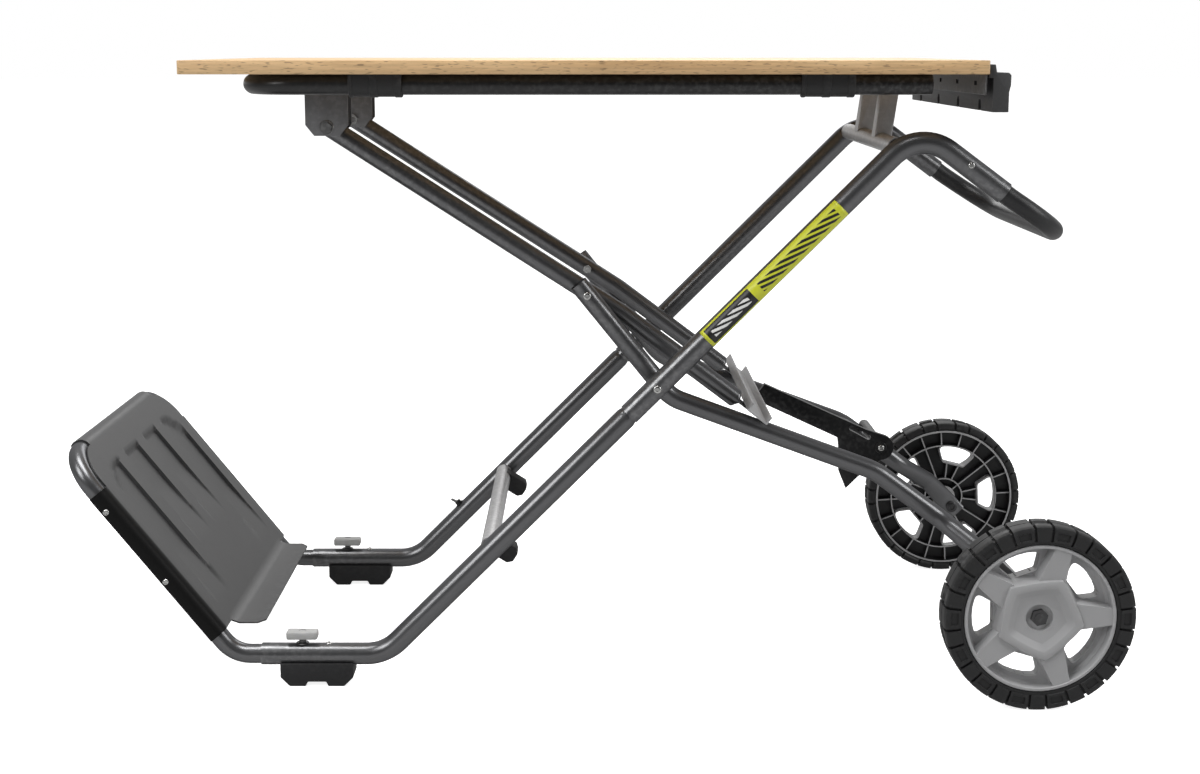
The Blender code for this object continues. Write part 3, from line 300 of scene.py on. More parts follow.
def turned(profile, centre, axis, steps, ring=False):
    """(radius, distance) points spun about an axis through centre. A ring closes on itself."""
    axis = axis.normalized()
    across = axis.orthogonal().normalized()
    bm = bmesh.new()
    verts = [bm.verts.new(centre + across * r + axis * d) for r, d in profile]
    edges = [bm.edges.new(pair) for pair in zip(verts, verts[1:])]
    if ring:
        edges.append(bm.edges.new((verts[-1], verts[0])))
    bmesh.ops.spin(bm, geom=verts + edges, cent=centre, axis=axis, angle=math.tau, steps=steps,
                   use_merge=True)
    bmesh.ops.remove_doubles(bm, verts=bm.verts, dist=1e-6)
    bmesh.ops.recalc_face_normals(bm, faces=bm.faces)
    return bm


def rod(radius, reach, centre, axis):
    """A plain round bar that reaches as far to both sides of its centre."""
    profile = [(0, -reach), (radius, -reach), (radius, reach), (0, reach)]
    return turned(profile, centre, axis, tube_sides)


def cut(obj, tool, operation="DIFFERENCE"):
    """Takes one shape from a piece, or adds it, and keeps the result as the piece's mesh."""
    mesh = bpy.data.meshes.new("tool")
    tool.to_mesh(mesh)
    tool.free()
    other = bpy.data.objects.new("tool", mesh)
    bpy.context.collection.objects.link(other)
    step = obj.modifiers.new("cut", "BOOLEAN")
    step.operation = operation
    step.solver = "EXACT"
    step.object = other
    depsgraph = bpy.context.evaluated_depsgraph_get()
    made = bpy.data.meshes.new_from_object(obj.evaluated_get(depsgraph))
    obj.modifiers.clear()
    obj.data = made
    bpy.data.objects.remove(other)
    made.shade_smooth()
    made.set_sharp_from_angle(angle=math.radians(smooth_angle))
    return obj


def add_prism(bm, outline, low, high, along):
    """A closed outline drawn out along one direction; gives back its far corners."""
    face = bm.faces.new([bm.verts.new(point + along * low) for point in outline])
    made = bmesh.ops.extrude_face_region(bm, geom=[face])["geom"]
    verts = [item for item in made if isinstance(item, bmesh.types.BMVert)]
    bmesh.ops.translate(bm, verts=verts, vec=along * (high - low))
    return verts


def prism(outline, low, high, along=y_way, soften=0.0):
    """A closed outline drawn out along one direction, with its edges softened."""
    bm = bmesh.new()
    add_prism(bm, outline, low, high, along)
    bmesh.ops.recalc_face_normals(bm, faces=bm.faces)
    if soften:
        bmesh.ops.bevel(bm, geom=bm.edges[:], offset=soften, segments=2, affect="EDGES",
                        profile=0.5, material=-1, clamp_overlap=True)
    return bm


def pan_head(centre, axis, radius, height):
    """A domed screw head standing on its seat."""
    profile = [(0, 0.92), (0.30, 0.92), (0.48, 0.90), (0.72, 0.80), (0.90, 0.55), (1, 0.20), (1, 0),
               (0.4, 0), (0.4, -1), (0, -1)]
    return turned([(radius * r, height * d) for r, d in profile], centre, axis, 24)


def screw(name, body, place, axis, radius=screw_radius, height=screw_height):
    """A pan-head screw with a cross recess, sunk a little into its seat."""
    obj = piece(name, pan_head(place - axis * 0.0004, axis, radius, height), body, zinc_plate)
    across = axis.orthogonal().normalized()
    along = axis.cross(across)
    arm, slim = radius * 0.62, radius * 0.24
    corners = [across * a + along * b for a, b in ((arm, slim), (slim, slim), (slim, arm))]
    outline = []
    for quarter in range(4):
        turn = Matrix.Rotation(math.pi / 2 * quarter, 3, axis)
        outline += [place + turn @ corner for corner in corners]
    cut(obj, prism(outline, height * 0.20, height * 2, axis))


zinc_plate = coated("zinc_plate", (0.50, 0.50, 0.49), 0.24, 1.0, drift=0.08, peel=1500.0, bump=0.03,
                    rough_drift=0.08, worn=(0.75, 0.75, 0.74))
for label, outward in both_sides:
    leg_screw = spot(*handle_screw, outward * (frame_y + frame_radius))
    top_screw = spot(sleeve_screw_x, foot_tube_z + frame_radius, outward * frame_y)
    screw(f"{label}_handle_screw", "frame", leg_screw, y_way * outward)
    screw(f"{label}_sleeve_screw", "frame", top_screw, z_way)

# Cross members: a thin tube low down that carries two rubber bumpers, and a thin tube
# under the handle that carries the two flat posts on which the top rests.
# Light metallic grey paint over steel, welded to the side tubes with a small bead.
cross_radius = 0.0115
cross_wall = 0.0015
top_cross = spot(0.3935, 0.708)
low_cross = spot(-0.129, 0.182)
post_y = 0.069
post_length = 0.0230
post_width = 0.026
post_lean = math.radians(7.6)
post_setback = 0.0106
post_top = 0.7997
frame_inner = frame_y - frame_radius - gap
light_paint = coated("light_grey_paint", (0.43, 0.43, 0.435), 0.36, 0.45, drift=0.08, peel=800.0,
                     bump=0.04, speck=0.18, worn=(0.62, 0.62, 0.62), edge_tint=(0.6, 0.6, 0.6))
bumper_rubber = coated("bumper_rubber", (0.016, 0.016, 0.017), 0.72, 0.0, drift=0.25, peel=500.0,
                       bump=0.12, worn=(0.05, 0.05, 0.05), specular=0.35)
for name, centre, node_name in (("upper_cross_member", top_cross, "top_cross_tube"),
                                ("lower_cross_member", low_cross, "lower_cross_tube")):
    bm = tube([(sideways(centre, y), 0, (cross_radius, cross_radius)) for y in (-frame_inner, frame_inner)],
              cross_wall, across=x_way)
    piece(name, bm, "frame", light_paint, [node_name])
left = top_cross.x - post_setback
slant = (post_top - top_cross.z) * math.tan(post_lean)
outline = [Vector((left + slant + post_length, 0, post_top)), Vector((left + slant, 0, post_top)),
           Vector((left, 0, top_cross.z)), Vector((left + post_length, 0, top_cross.z))]
for label, outward in both_sides:
    y = outward * post_y
    post = piece(f"{label}_post", prism(outline, y - post_width / 2, y + post_width / 2, soften=0.0012),
                 "frame", light_paint, [f"{label}_rest_post"])
    cut(post, rod(cross_radius + gap, post_width, sideways(top_cross, y), y_way))

# Bumpers: rubber buffers on the lower cross tube that meet the folded wheel tubes. Each is
# a moulded block with cut corners, pushed on to the tube and held by one screw.
bumper_y = 0.160
bumper_width = 0.026
bumper_height = 0.024
groove_half = 0.0014
groove_depth = 0.0012
fold_angle = math.radians(102)
link_pivot = spot(0.0, 0.511)
wheel_radius = 0.0127
knee_drop = math.radians(20.2)
elbow_x = 0.1105
knee_x = 0.385


def fall(reach, slope):
    """A step of this reach along X that drops at this slope."""
    return Vector((reach, 0, -reach * math.tan(slope)))


wheel_elbow = main_pivot + (main_pivot - link_pivot) * ((elbow_x - pivot_x) / pivot_x)
wheel_knee = wheel_elbow + fall(knee_x - elbow_x, knee_drop)
folded = Matrix.Rotation(fold_angle, 3, "Y")
along = (folded @ (wheel_knee - wheel_elbow)).normalized()
start = main_pivot + folded @ (wheel_elbow - main_pivot)
away = (start - low_cross) - along * (start - low_cross).dot(along)
reach = away.length - wheel_radius - 2 * gap
away.normalize()
half = along * bumper_height / 2
shoulder = reach - bumper_height / 4
outline = [low_cross + half * way + away * height for way, height in
           ((1, 0), (1, shoulder), (0.5, reach), (-0.5, reach), (-1, shoulder), (-1, 0))]
for label, outward in both_sides:
    y = outward * bumper_y
    pad = piece(f"{label}_buffer", prism(outline, y - bumper_width / 2, y + bumper_width / 2, soften=0.0012),
                "frame", bumper_rubber, [f"{label}_bumper"])
    cut(pad, rod(cross_radius + gap, bumper_width, sideways(low_cross, y), y_way))
    for offset in (-0.3, 0.3):
        trench = [low_cross + half * way + away * (reach + depth)
                  for way, depth in ((2, -groove_depth), (2, 0.01), (-2, 0.01), (-2, -groove_depth))]
        groove = y + offset * bumper_width
        cut(pad, prism(trench, groove - groove_half, groove + groove_half))

# Catch pin: a short plastic plug with a pale peg on top of the far lower tube, above the
# foot bend. It is pushed into a hole in the tube.
catch_x = -0.1896
catch_normal = Vector((-lean.z, 0, lean.x))
catch_place = foot_corner + lean * ((catch_x - centre_shift - foot_corner.x) / lean.x)
catch_place = sideways(catch_place, frame_y) + catch_normal * (frame_radius - 0.0006)
plug = turned([(0, 0.0065), (0.0040, 0.0065), (0.0048, 0.0055), (0.0048, 0.0020), (0.0068, 0.0014),
               (0.0068, 0), (0, 0)], catch_place, catch_normal, 24)
catch_black = coated("catch_plastic", (0.014, 0.014, 0.015), 0.45, 0.0, drift=0.1, peel=1200.0, bump=0.06)
piece("catch_plug", plug, "frame", catch_black)
peg_way = (catch_normal + Vector((-0.4, -0.5, 0))).normalized()
peg = turned([(0, 0.0110), (0.0014, 0.0110), (0.0020, 0.0102), (0.0022, 0), (0, 0)],
             catch_place + catch_normal * 0.0050 - lean * 0.0010, peg_way, 16)
catch_grey = coated("catch_peg", (0.30, 0.30, 0.30), 0.4, 0.0, drift=0.1, peel=1200.0, bump=0.05)
piece("catch_peg", peg, "frame", catch_grey)

# Handle: one U of thinner tube that plugs into both upper tubes and is covered in a
# black foam-rubber grip. The grip is slid on over soapy water and ends at the tubes.
handle_radius = 0.0125
handle_insert = 0.040
handle_reach = 0.2355
kink_gap = 0.012
grip_rise = 0.0045
kink = handle_corner + handle_way * (handle_leg + kink_gap)
grip_lift = heading(math.pi / 2 - handle_slope) * grip_rise
handle_end = handle_corner + handle_way * handle_reach + grip_lift
handle_start = handle_corner + handle_way * (handle_leg - handle_insert)
round_handle = (handle_radius, handle_radius)
kink_bend = 0.15
grip_bend = 0.075


def u_run(y, *corners):
    """One leg of a U on the near side, and the same leg back again on the far side."""
    return run(-y, *corners) + run(y, *reversed(corners))


grip_rubber = coated("grip_rubber", (0.013, 0.013, 0.014), 0.42, 0.0, drift=0.2, peel=1300.0, bump=0.08,
                     worn=(0.04, 0.04, 0.04), specular=0.45)
bm = tube(u_run(frame_y, (handle_start, 0, round_handle), (kink, kink_bend, round_handle),
                (handle_end, grip_bend, round_handle)), frame_wall)
piece("handle_grip", bm, "frame", grip_rubber, ["handle_bar"])

# Label: a strip of lime film wrapped round the front of the near upper tube, printed with
# dark slanted bars and, at its lower end, a dark block with pale bars.
label_along = 0.5964
label_length = 0.240
label_half_turn = math.radians(62)
label_lift = 0.00015
label_rows = 60
label_turns = 24


def label_film():
    """Lime film with dark slanted bars above and a dark block with pale bars below."""
    material, tree, shader = surface("label_film")
    strip = node(tree, "UVMap", {"uv_map": "strip"}).outputs[0]
    parts = node(tree, "SeparateXYZ", {}, strip).outputs
    along, across = parts[0], parts[1]

    def both(first, second):
        return sums(tree, "MULTIPLY", first, second)

    def inside(source, low, high):
        return both(sums(tree, "GREATER_THAN", source, low), sums(tree, "LESS_THAN", source, high))

    slanted = sums(tree, "MULTIPLY", sums(tree, "MULTIPLY_ADD", across, 0.35, along), 13.0)
    bar = inside(sums(tree, "FRACT", slanted), 0.22, 0.78)
    dark_block = both(inside(along, 0.02, 0.345), inside(across, 0.10, 0.90))
    pale_bars = both(both(inside(along, 0.05, 0.315), inside(across, 0.34, 0.66)), bar)
    dark_bars = both(both(inside(along, 0.40, 0.965), inside(across, 0.27, 0.73)), bar)
    lime, ink, pale = (0.60, 0.63, 0.035, 1), (0.012, 0.012, 0.012, 1), (0.80, 0.80, 0.78, 1)
    tone = blend(tree, dark_bars, blend(tree, pale_bars, blend(tree, dark_block, lime, ink), pale), ink)
    tree.links.new(tone, shader["Base Color"])
    shader["Roughness"].default_value = 0.34
    grained(tree, shader, noise(tree, object_place(tree), 900.0), 0.04)
    return material


strip_bm = bmesh.new()
strip_uv = strip_bm.loops.layers.uv.new("strip")
bmesh.ops.create_grid(strip_bm, x_segments=label_rows, y_segments=label_turns, size=0.5)
for face in strip_bm.faces:
    for loop in face.loops:
        loop[strip_uv].uv = (loop.vert.co.x + 0.5, loop.vert.co.y + 0.5)
label_up = Vector((-lean.z, 0, lean.x))
for vert in strip_bm.verts:
    along, across = vert.co.x + 0.5, vert.co.y
    angle = across * 2 * label_half_turn
    radius = frame_radius + label_lift
    ring = Vector((0, -1, 0)) * math.cos(angle) * radius + label_up * math.sin(angle) * radius
    vert.co = sideways(foot_corner, -frame_y) + lean * (label_along + label_length * along) + ring
bmesh.ops.recalc_face_normals(strip_bm, faces=strip_bm.faces)
label = piece("tube_label", strip_bm, "frame", label_film())
film = label.modifiers.new("film", "SOLIDIFY")
film.thickness = label_lift / 2
film.offset = 1

# Feet: moulded rubber blocks that cradle each sleeve from below and are screwed on.
# Their lower face is notched in the middle. They are hard black rubber with a fine grain.
foot_x = -0.356
foot_half = 0.048
foot_width = 0.034
foot_shoulder = 0.012
foot_notch = 0.012
foot_notch_height = 0.006
foot_top = foot_tube_z - frame_radius + 0.006
foot_rubber = coated("foot_rubber", (0.012, 0.012, 0.013), 0.62, 0.0, drift=0.3, peel=700.0, bump=0.1,
                     worn=(0.04, 0.04, 0.04), specular=0.4)
half_outline = [(foot_half, foot_top), (foot_half, foot_shoulder), (foot_half - foot_shoulder, 0),
                (foot_notch + foot_notch_height / 2, 0), (foot_notch, foot_notch_height)]
outline = [spot(foot_x - x, z) for x, z in half_outline]
outline += [spot(foot_x + x, z) for x, z in reversed(half_outline)]
for label, outward in both_sides:
    y = outward * frame_y
    foot = piece(f"{label}_foot_block", prism(outline, y - foot_width / 2, y + foot_width / 2, soften=0.0012),
                 "frame", foot_rubber, [f"{label}_foot"])
    cut(foot, rod(frame_radius + 2 * gap, 3 * foot_half, spot(foot_x, foot_tube_z, y), x_way))

# Clamp knobs: flat moulded grips on a threaded stem that press on the sliding toe frame.
# Light grey nylon with rounded edges, moulded over a zinc-plated stem and washer, which are coloured dark,
# partly as painted shade under the grip.
knob_x = -0.3764
knob_half = Vector((0.0205, 0.0085, 0.0055))
knob_lift = 0.0065
knob_edge = 0.0026
stem_top = knob_lift + 0.0004
washer_z = foot_tube_z + frame_radius + gap
knob_plastic = coated("knob_plastic", (0.38, 0.38, 0.375), 0.46, 0.0, drift=0.06, peel=1100.0, bump=0.06,
                      worn=(0.6, 0.6, 0.6))
# Dark steel that is partly painted shade: the washer under the knob is darkened to stand in for the shadow
# the grip throws on it.
washer_steel_and_shade = coated("washer_steel_and_shade", (0.10, 0.10, 0.10), 0.36, 0.9, drift=0.1, peel=1200.0, bump=0.05,
                      worn=(0.3, 0.3, 0.3))


def block(low, high, soften, segments=3):
    bm = bmesh.new()
    size = Vector(high) - Vector(low)
    middle = (Vector(high) + Vector(low)) / 2
    bmesh.ops.create_cube(bm, size=1, matrix=Matrix.Translation(middle) @ Matrix.Diagonal((*size, 1)))
    if soften:
        bmesh.ops.bevel(bm, geom=bm.edges[:], offset=soften, segments=segments, affect="EDGES",
                        profile=0.5, material=-1)
    return bm


for label, outward in both_sides:
    y = outward * frame_y
    middle = spot(knob_x, washer_z + knob_lift + knob_half.z, y)
    grip = block(middle - knob_half, middle + knob_half, knob_edge)
    bmesh.ops.recalc_face_normals(grip, faces=grip.faces)
    knob = piece(f"{label}_knob_grip", grip, f"{label}_knob", knob_plastic,
                 [f"{label}_clamp_knob"])
    cut(knob, turned([(0, 0), (0.0045, 0), (0.0050, 0.004), (0, 0.004)],
                     middle + z_way * (knob_half.z - 0.0010), z_way, 24))
    stem = turned([(0, -0.0018), (0.003, -0.0018), (0.003, 0), (0.0085, 0), (0.0085, 0.0008),
                   (0.0080, 0.0012), (0.0046, 0.0018), (0.0042, stem_top), (0, stem_top)],
                  spot(knob_x, washer_z, y), z_way, 32)
    piece(f"{label}_knob_stem", stem, f"{label}_knob", washer_steel_and_shade)

# Toe frame: one U of thinner tube that slides in both foot sleeves and turns up into the
# support of the toe plate. Bent steel tube with the same dark metallic paint.
toe_radius = 0.0125
toe_wall = 0.0015
toe_length = 0.335
toe_angle = math.radians(128.2)
toe_corner = spot(-0.4665, foot_tube_z)
toe_up = heading(toe_angle)
toe_normal = heading(toe_angle - math.pi / 2)
toe_top = toe_corner + toe_up * toe_length
round_toe = (toe_radius, toe_radius)
toe_start = spot(-0.297, foot_tube_z)
toe_low_bend = 0.045
toe_high_bend = 0.050
bm = tube(u_run(frame_y, (toe_start, 0, round_toe), (toe_corner, toe_low_bend, round_toe),
                (toe_top, toe_high_bend, round_toe)), toe_wall)
piece("toe_tube", bm, "toe_frame", gunmetal_paint, ["toe_frame_tube"])

# Toe plate: pressed sheet that wraps both legs, rolls over the top tube and ends in a
# flat lip with cut corners. Four sunk panels stiffen it, each fading out at its lower end.
# Steel sheet in dark satin paint, screwed to the legs, with painted shade on the sides that wrap the legs.
plate_thickness = 0.002
plate_low = 0.034
plate_high = 0.278
plate_half = 0.150
plate_rise = toe_radius + gap + plate_thickness / 2
plate_crease = 0.0245
plate_lift = 0.006
plate_skirt = 0.008
lip_half = 0.172
lip_length = 0.034
lip_corner = 0.012
panel_depth = 0.0042
panel_top = 0.296
panels = ((-0.170, -0.110, 0.066), (-0.077, -0.016, 0.138), (0.016, 0.077, 0.138), (0.110, 0.170, 0.066))
panel_wall = 0.0022
panel_fade = 0.085
panel_head = 0.004
panel_corner = 0.136
plate_screws = (0.2525, 0.1332)
screw_offset = 0.0022


def plate_columns():
    """Across the plate: (y, rise above the legs' line), with a column at each panel wall."""
    edge = [(-frame_y - plate_rise, -plate_skirt)]
    edge += [(-frame_y - math.cos(a) * plate_rise, math.sin(a) * plate_rise)
             for a in map(math.radians, range(0, 91, 15))]
    flat = {-lip_half, -plate_half, lip_half, plate_half}
    for low, high, _ in panels:
        flat |= {low, low + panel_wall, high - panel_wall, high}
    flat |= {round(-0.190 + 0.01 * i, 4) for i in range(39)}
    return edge + [(y, plate_rise) for y in sorted(flat)] + [(-y, rise) for y, rise in reversed(edge)]


def sunk(y, along):
    """How far a point of the plate is pressed in."""
    for low, high, start in panels:
        if low < y < high and start < along < panel_top:
            corner = panel_top - max(0.0, abs(y) - panel_corner)
            side = min(1.0, min(y - low, high - y) / panel_wall)
            end = min(1.0, (along - start) / panel_fade)
            head = min(1.0, max(0.0, corner - along) / panel_head)
            return panel_depth * side * end * head
    return 0.0


columns = plate_columns()
straight = [plate_low + (plate_high - plate_low) * i / 30 for i in range(31)]
upper = [plate_high + (toe_length - plate_high) * i / 14 for i in range(1, 14)]
roll = [math.radians(a) for a in range(0, 121, 8)]
rows = ["lip", "fold"] + straight + upper + roll
last_column, last_row = len(columns) - 1, len(rows) - 1


def on_grid(point):
    """Column and row of a point of the grid, which runs from -1 to 1 both ways."""
    return (point.x + 1) / 2 * last_column, (point.y + 1) / 2 * last_row


plate_bm = bmesh.new()
bmesh.ops.create_grid(plate_bm, x_segments=last_column, y_segments=last_row, size=1)
beside_lip = []
for face in plate_bm.faces:
    column, row = map(int, on_grid(face.calc_center_median()))
    if row < 2 and abs(columns[column][0] + columns[column + 1][0]) / 2 > lip_half:
        beside_lip.append(face)
bmesh.ops.delete(plate_bm, geom=beside_lip, context="FACES")
for vert in plate_bm.verts:
    column, row = map(round, on_grid(vert.co))
    y, rise = columns[column]
    if row < 2:
        place = toe_up * plate_crease + toe_normal * (rise + plate_lift)
        if row == 0:
            cut_back = max(0.0, abs(y) - (lip_half - lip_corner)) * 0.8
            place += x_way * (lip_length - cut_back)
    elif row > last_row - len(roll):
        place = toe_up * (toe_length + math.sin(rows[row]) * plate_rise)
        place += toe_normal * math.cos(rows[row]) * plate_rise
    else:
        place = toe_up * rows[row] + toe_normal * (rise - sunk(y, rows[row]))
    vert.co = toe_corner + place + y_way * y
bmesh.ops.recalc_face_normals(plate_bm, faces=plate_bm.faces)
corner_middle = Vector((0.1516, 0.285))
corner_reach = 0.0485
beyond_side = 0.26
beyond_top = 0.40
plate_paint = coated("plate_paint", (0.027, 0.027, 0.0275), 0.44, 0.0, drift=0.04, peel=900.0, bump=0.05,
                     worn=(0.10, 0.10, 0.10))
# Painted shade: where the sheet wraps down the legs' sides it is coloured near-black and its sheen is turned
# down, for the shade on those sides.
skirt_painted_shade = (0.006, 0.006, 0.006, 1)
tree = plate_paint.node_tree
shader = tree.nodes["Principled BSDF"].inputs
face_tone = shader["Base Color"].links[0].from_socket
side = sums(tree, "ABSOLUTE", node(tree, "SeparateXYZ", {}, object_place(tree)).outputs["Y"])
wrap = ranged(tree, side, frame_y - 0.003, frame_y + 0.001)
tree.links.new(blend(tree, wrap, face_tone, skirt_painted_shade), shader["Base Color"])
tree.links.new(ranged(tree, wrap, 0.0, 1.0, 0.5, 0.12), shader["Specular IOR Level"])
plate = piece("toe_plate_sheet", plate_bm, "toe_frame", plate_paint, ["toe_plate"])
sheet = plate.modifiers.new("sheet", "SOLIDIFY")
sheet.thickness = plate_thickness
sheet.offset = 0
sheet.use_even_offset = True
for outward in (-1, 1):
    arc = [corner_middle + Vector((math.cos(a), math.sin(a))) * corner_reach
           for a in map(math.radians, range(-8, 91, 7))]
    corner = [(beyond_side, plate_high), *arc, (corner_middle.x, beyond_top), (beyond_side, beyond_top)]
    cut(plate, prism([toe_corner + toe_up * along + Vector((0, outward * y, 0)) for y, along in corner],
                     -0.04, 0.04, toe_normal))
for number, along in enumerate(plate_screws):
    for label, outward in both_sides:
        place = toe_corner + toe_up * along - toe_normal * screw_offset
        place = sideways(place, outward * (frame_y + plate_rise + plate_thickness / 2))
        screw(f"{label}_plate_screw_{number + 1}", "toe_frame", place, y_way * outward)

# Wheel frame tubes: each runs from the link pivot through the main pivot, bends twice and
# ends flared outwards and pressed flat round the stub axle. Same metallic paint.
wheel_frame_y = 0.145
wheel_wall = 0.0012
link_overhang = 0.019
elbow_bend = 0.055
knee_bend = 0.080
flare_bend = 0.05
heel_bend = 0.02
shin_drop = math.radians(36.5)
wheel_centre = spot(0.571, 0.121)
axle_y = 0.2075
heel_y = 0.192
flare_x = 0.478
heel_x = 0.530
flat_section = (0.0145, 0.0036)
round_wheel = (wheel_radius, wheel_radius)
wheel_flare = wheel_knee + fall(flare_x - knee_x, shin_drop)
wheel_heel = wheel_knee + fall(heel_x - knee_x, shin_drop)
flat_way = (wheel_centre - wheel_heel).normalized() * flat_section[0]


def eased(start, end, steps):
    """Points from one (place, section) to another, with the section eased in between."""
    points = []
    for index in range(1, steps):
        t = index / steps
        s = t * t * (3 - 2 * t)
        section = tuple(a + (b - a) * s for a, b in zip(start[1], end[1]))
        points.append((start[0].lerp(end[0], t), 0, section))
    return points


down = (main_pivot - link_pivot).normalized()
for label, outward in both_sides:
    heel = sideways(wheel_heel, outward * heel_y)
    axle = sideways(wheel_centre, outward * axle_y)
    half = tuple((a + b) / 2 for a, b in zip(round_wheel, flat_section))
    bm = tube(
        [
            *run(outward * wheel_frame_y, (link_pivot - down * link_overhang, 0, round_wheel),
                 (wheel_elbow, elbow_bend, round_wheel), (wheel_knee, knee_bend, round_wheel),
                 (wheel_flare, flare_bend, round_wheel)),
            (heel, heel_bend, half),
            *eased((heel, half), (axle - flat_way, flat_section), 4),
            (axle - flat_way, 0, flat_section),
            (axle + flat_way, 0, flat_section),
        ],
        wheel_wall,
    )
    piece(f"{label}_wheel_leg", bm, "wheel_frame", gunmetal_paint, [f"{label}_wheel_tube"])

# Pivot hardware: bolts with low domed heads through the crossing tubes, a nylon spacer
# between frame tube and wheel tube, and nuts inside. Bright zinc plate on steel.
bolt_radius = 0.0075
bolt_height = 0.0045
pivot_head = 0.0052
pivot_height = 0.0030
shank_radius = 0.004
bolt_end = 0.005
nut_bore = 0.0043
spacer_nylon = coated("spacer_nylon", (0.02, 0.02, 0.021), 0.5, 0.0, drift=0.1, peel=1000.0, bump=0.05)


def dome_bolt(centre, axis, seat, tail, shank, radius, height):
    """A domed head with a round socket over a shank, with its under-face at seat."""
    dome = [(0, 0.35), (0.42, 0.35), (0.48, 0.9)]
    dome += [(math.sin(a), 0.35 + 0.65 * math.cos(a)) for a in map(math.radians, range(34, 91, 14))]
    profile = [(radius * r, seat + height * d) for r, d in [*dome, (1, 0.3), (1, 0)]]
    return turned([*profile, (shank, seat), (shank, tail), (0, tail)], centre, axis, 32)


def hex_nut(centre, axis, low, high, bore, radius):
    """A six-sided nut with chamfered corners, standing from low to high along its axis."""
    axis = axis.normalized()
    across = axis.orthogonal().normalized()
    outline = [Matrix.Rotation(math.tau * (i + 0.5) / 6, 3, axis) @ across * radius for i in range(6)]
    bm = bmesh.new()
    outer = [bm.verts.new(centre + axis * low + point) for point in outline]
    face = bm.faces.new(outer)
    bmesh.ops.inset_individual(bm, faces=[face], thickness=radius - bore * 1.25)
    made = bmesh.ops.extrude_face_region(bm, geom=bm.faces[:])["geom"]
    verts = [item for item in made if isinstance(item, bmesh.types.BMVert)]
    bmesh.ops.translate(bm, verts=verts, vec=axis * (high - low))
    bmesh.ops.recalc_face_normals(bm, faces=bm.faces)
    rim = [edge for edge in bm.edges if edge.is_manifold and edge.calc_face_angle(0) > math.radians(40)]
    bmesh.ops.bevel(bm, geom=rim, offset=radius * 0.08, segments=2, affect="EDGES", profile=0.5, material=-1)
    return bm


def hex_bolt(centre, axis, seat, tail, shank, radius, height):
    """A six-sided head on a washer, over a shank."""
    bm = turned([(0, seat + 0.0012), (radius * 1.22, seat + 0.0012), (radius * 1.28, seat + 0.0008),
                 (radius * 1.28, seat), (shank, seat), (shank, tail), (0, tail)], centre, axis, 32)
    return bm, hex_nut(centre, axis, seat + 0.0010, seat + height, 0.0001, radius)


wheel_outer = wheel_frame_y + wheel_radius
wheel_inner = wheel_frame_y - wheel_radius
link_y = 0.117
link_inner = link_y - wheel_radius
for label, outward in both_sides:
    axis = y_way * outward
    bm = turned([(0.0045, frame_inner), (0.0098, frame_inner), (0.0105, frame_inner - 0.0006),
                 (0.0105, wheel_outer + gap + 0.0006), (0.0098, wheel_outer + gap),
                 (0.0045, wheel_outer + gap)], main_pivot, axis, 32, ring=True)
    piece(f"{label}_pivot_ring", bm, "frame", spacer_nylon, [f"{label}_pivot_spacer"])
    bm = dome_bolt(main_pivot, axis, frame_y + frame_radius + gap, wheel_inner, shank_radius, pivot_head,
                   pivot_height)
    piece(f"{label}_pivot_bolt_head", bm, "frame", zinc_plate, [f"{label}_main_pivot_bolt"])
    bm = dome_bolt(link_pivot, axis, wheel_outer + gap, link_inner - gap - bolt_end, shank_radius, pivot_head,
                   pivot_height)
    piece(f"{label}_link_bolt_head", bm, "wheel_frame", zinc_plate, [f"{label}_link_bolt"])
    bm = hex_nut(link_pivot, axis, link_inner - gap - 0.0040, link_inner - gap, nut_bore, bolt_radius * 0.85)
    piece(f"{label}_link_hex_nut", bm, "wheel_frame", zinc_plate, [f"{label}_link_nut"])

# Wheels: a moulded grey rim with five spokes round a five-sided boss, stiffened by ribs
# on its inner side, and a solid rubber tyre with side lugs. Rim of polypropylene.
wheel_y = 0.2775
rim_axis = -y_way
rim_place = sideways(wheel_centre, -wheel_y)
tyre_radius = 0.121
tyre_half = 0.0205
rim_radius = 0.0958
barrel = rim_radius - 0.0035
barrel_half = 0.0185
hub_bore = 0.0065
hub_radius = 0.018
hub_inner = 0.019
hub_face = 0.009
web_back = -0.004
circle_radius = 0.0845
circle_wall = 0.002
circle_depth = 0.016
hub_ring = 0.0305
flange_radius = 0.1085
flange_wall = 0.003
spokes = 5
spoke_angle = math.radians(1.5)
boss_angle = math.radians(-10)
far_turn = math.radians(-34)
boss_vertex = 0.0567
boss_face = 0.0190
boss_recess = 0.0416
boss_sink = 0.006
pocket_radius = 0.0165
rib_count = 20
rib_half = 0.001
spoke_root = 0.0205
spoke_tip = 0.0125
spoke_rise = 0.0150
spoke_tip_rise = 0.0172
spoke_taper = 0.84
window_inner = 0.058
window_half = math.radians(21)
window_wall = 0.002
hub_rib_angle = math.radians(10)
frame_plastic = coated("window_plastic", (0.30, 0.30, 0.305), 0.50, 0.0, drift=0.07, peel=1200.0, bump=0.08)
tyre_rubber = coated("tyre_rubber", (0.011, 0.011, 0.0115), 0.55, 0.0, drift=0.20, peel=420.0, bump=0.08,
                     worn=(0.075, 0.075, 0.075), specular=0.45, rough_drift=0.15)


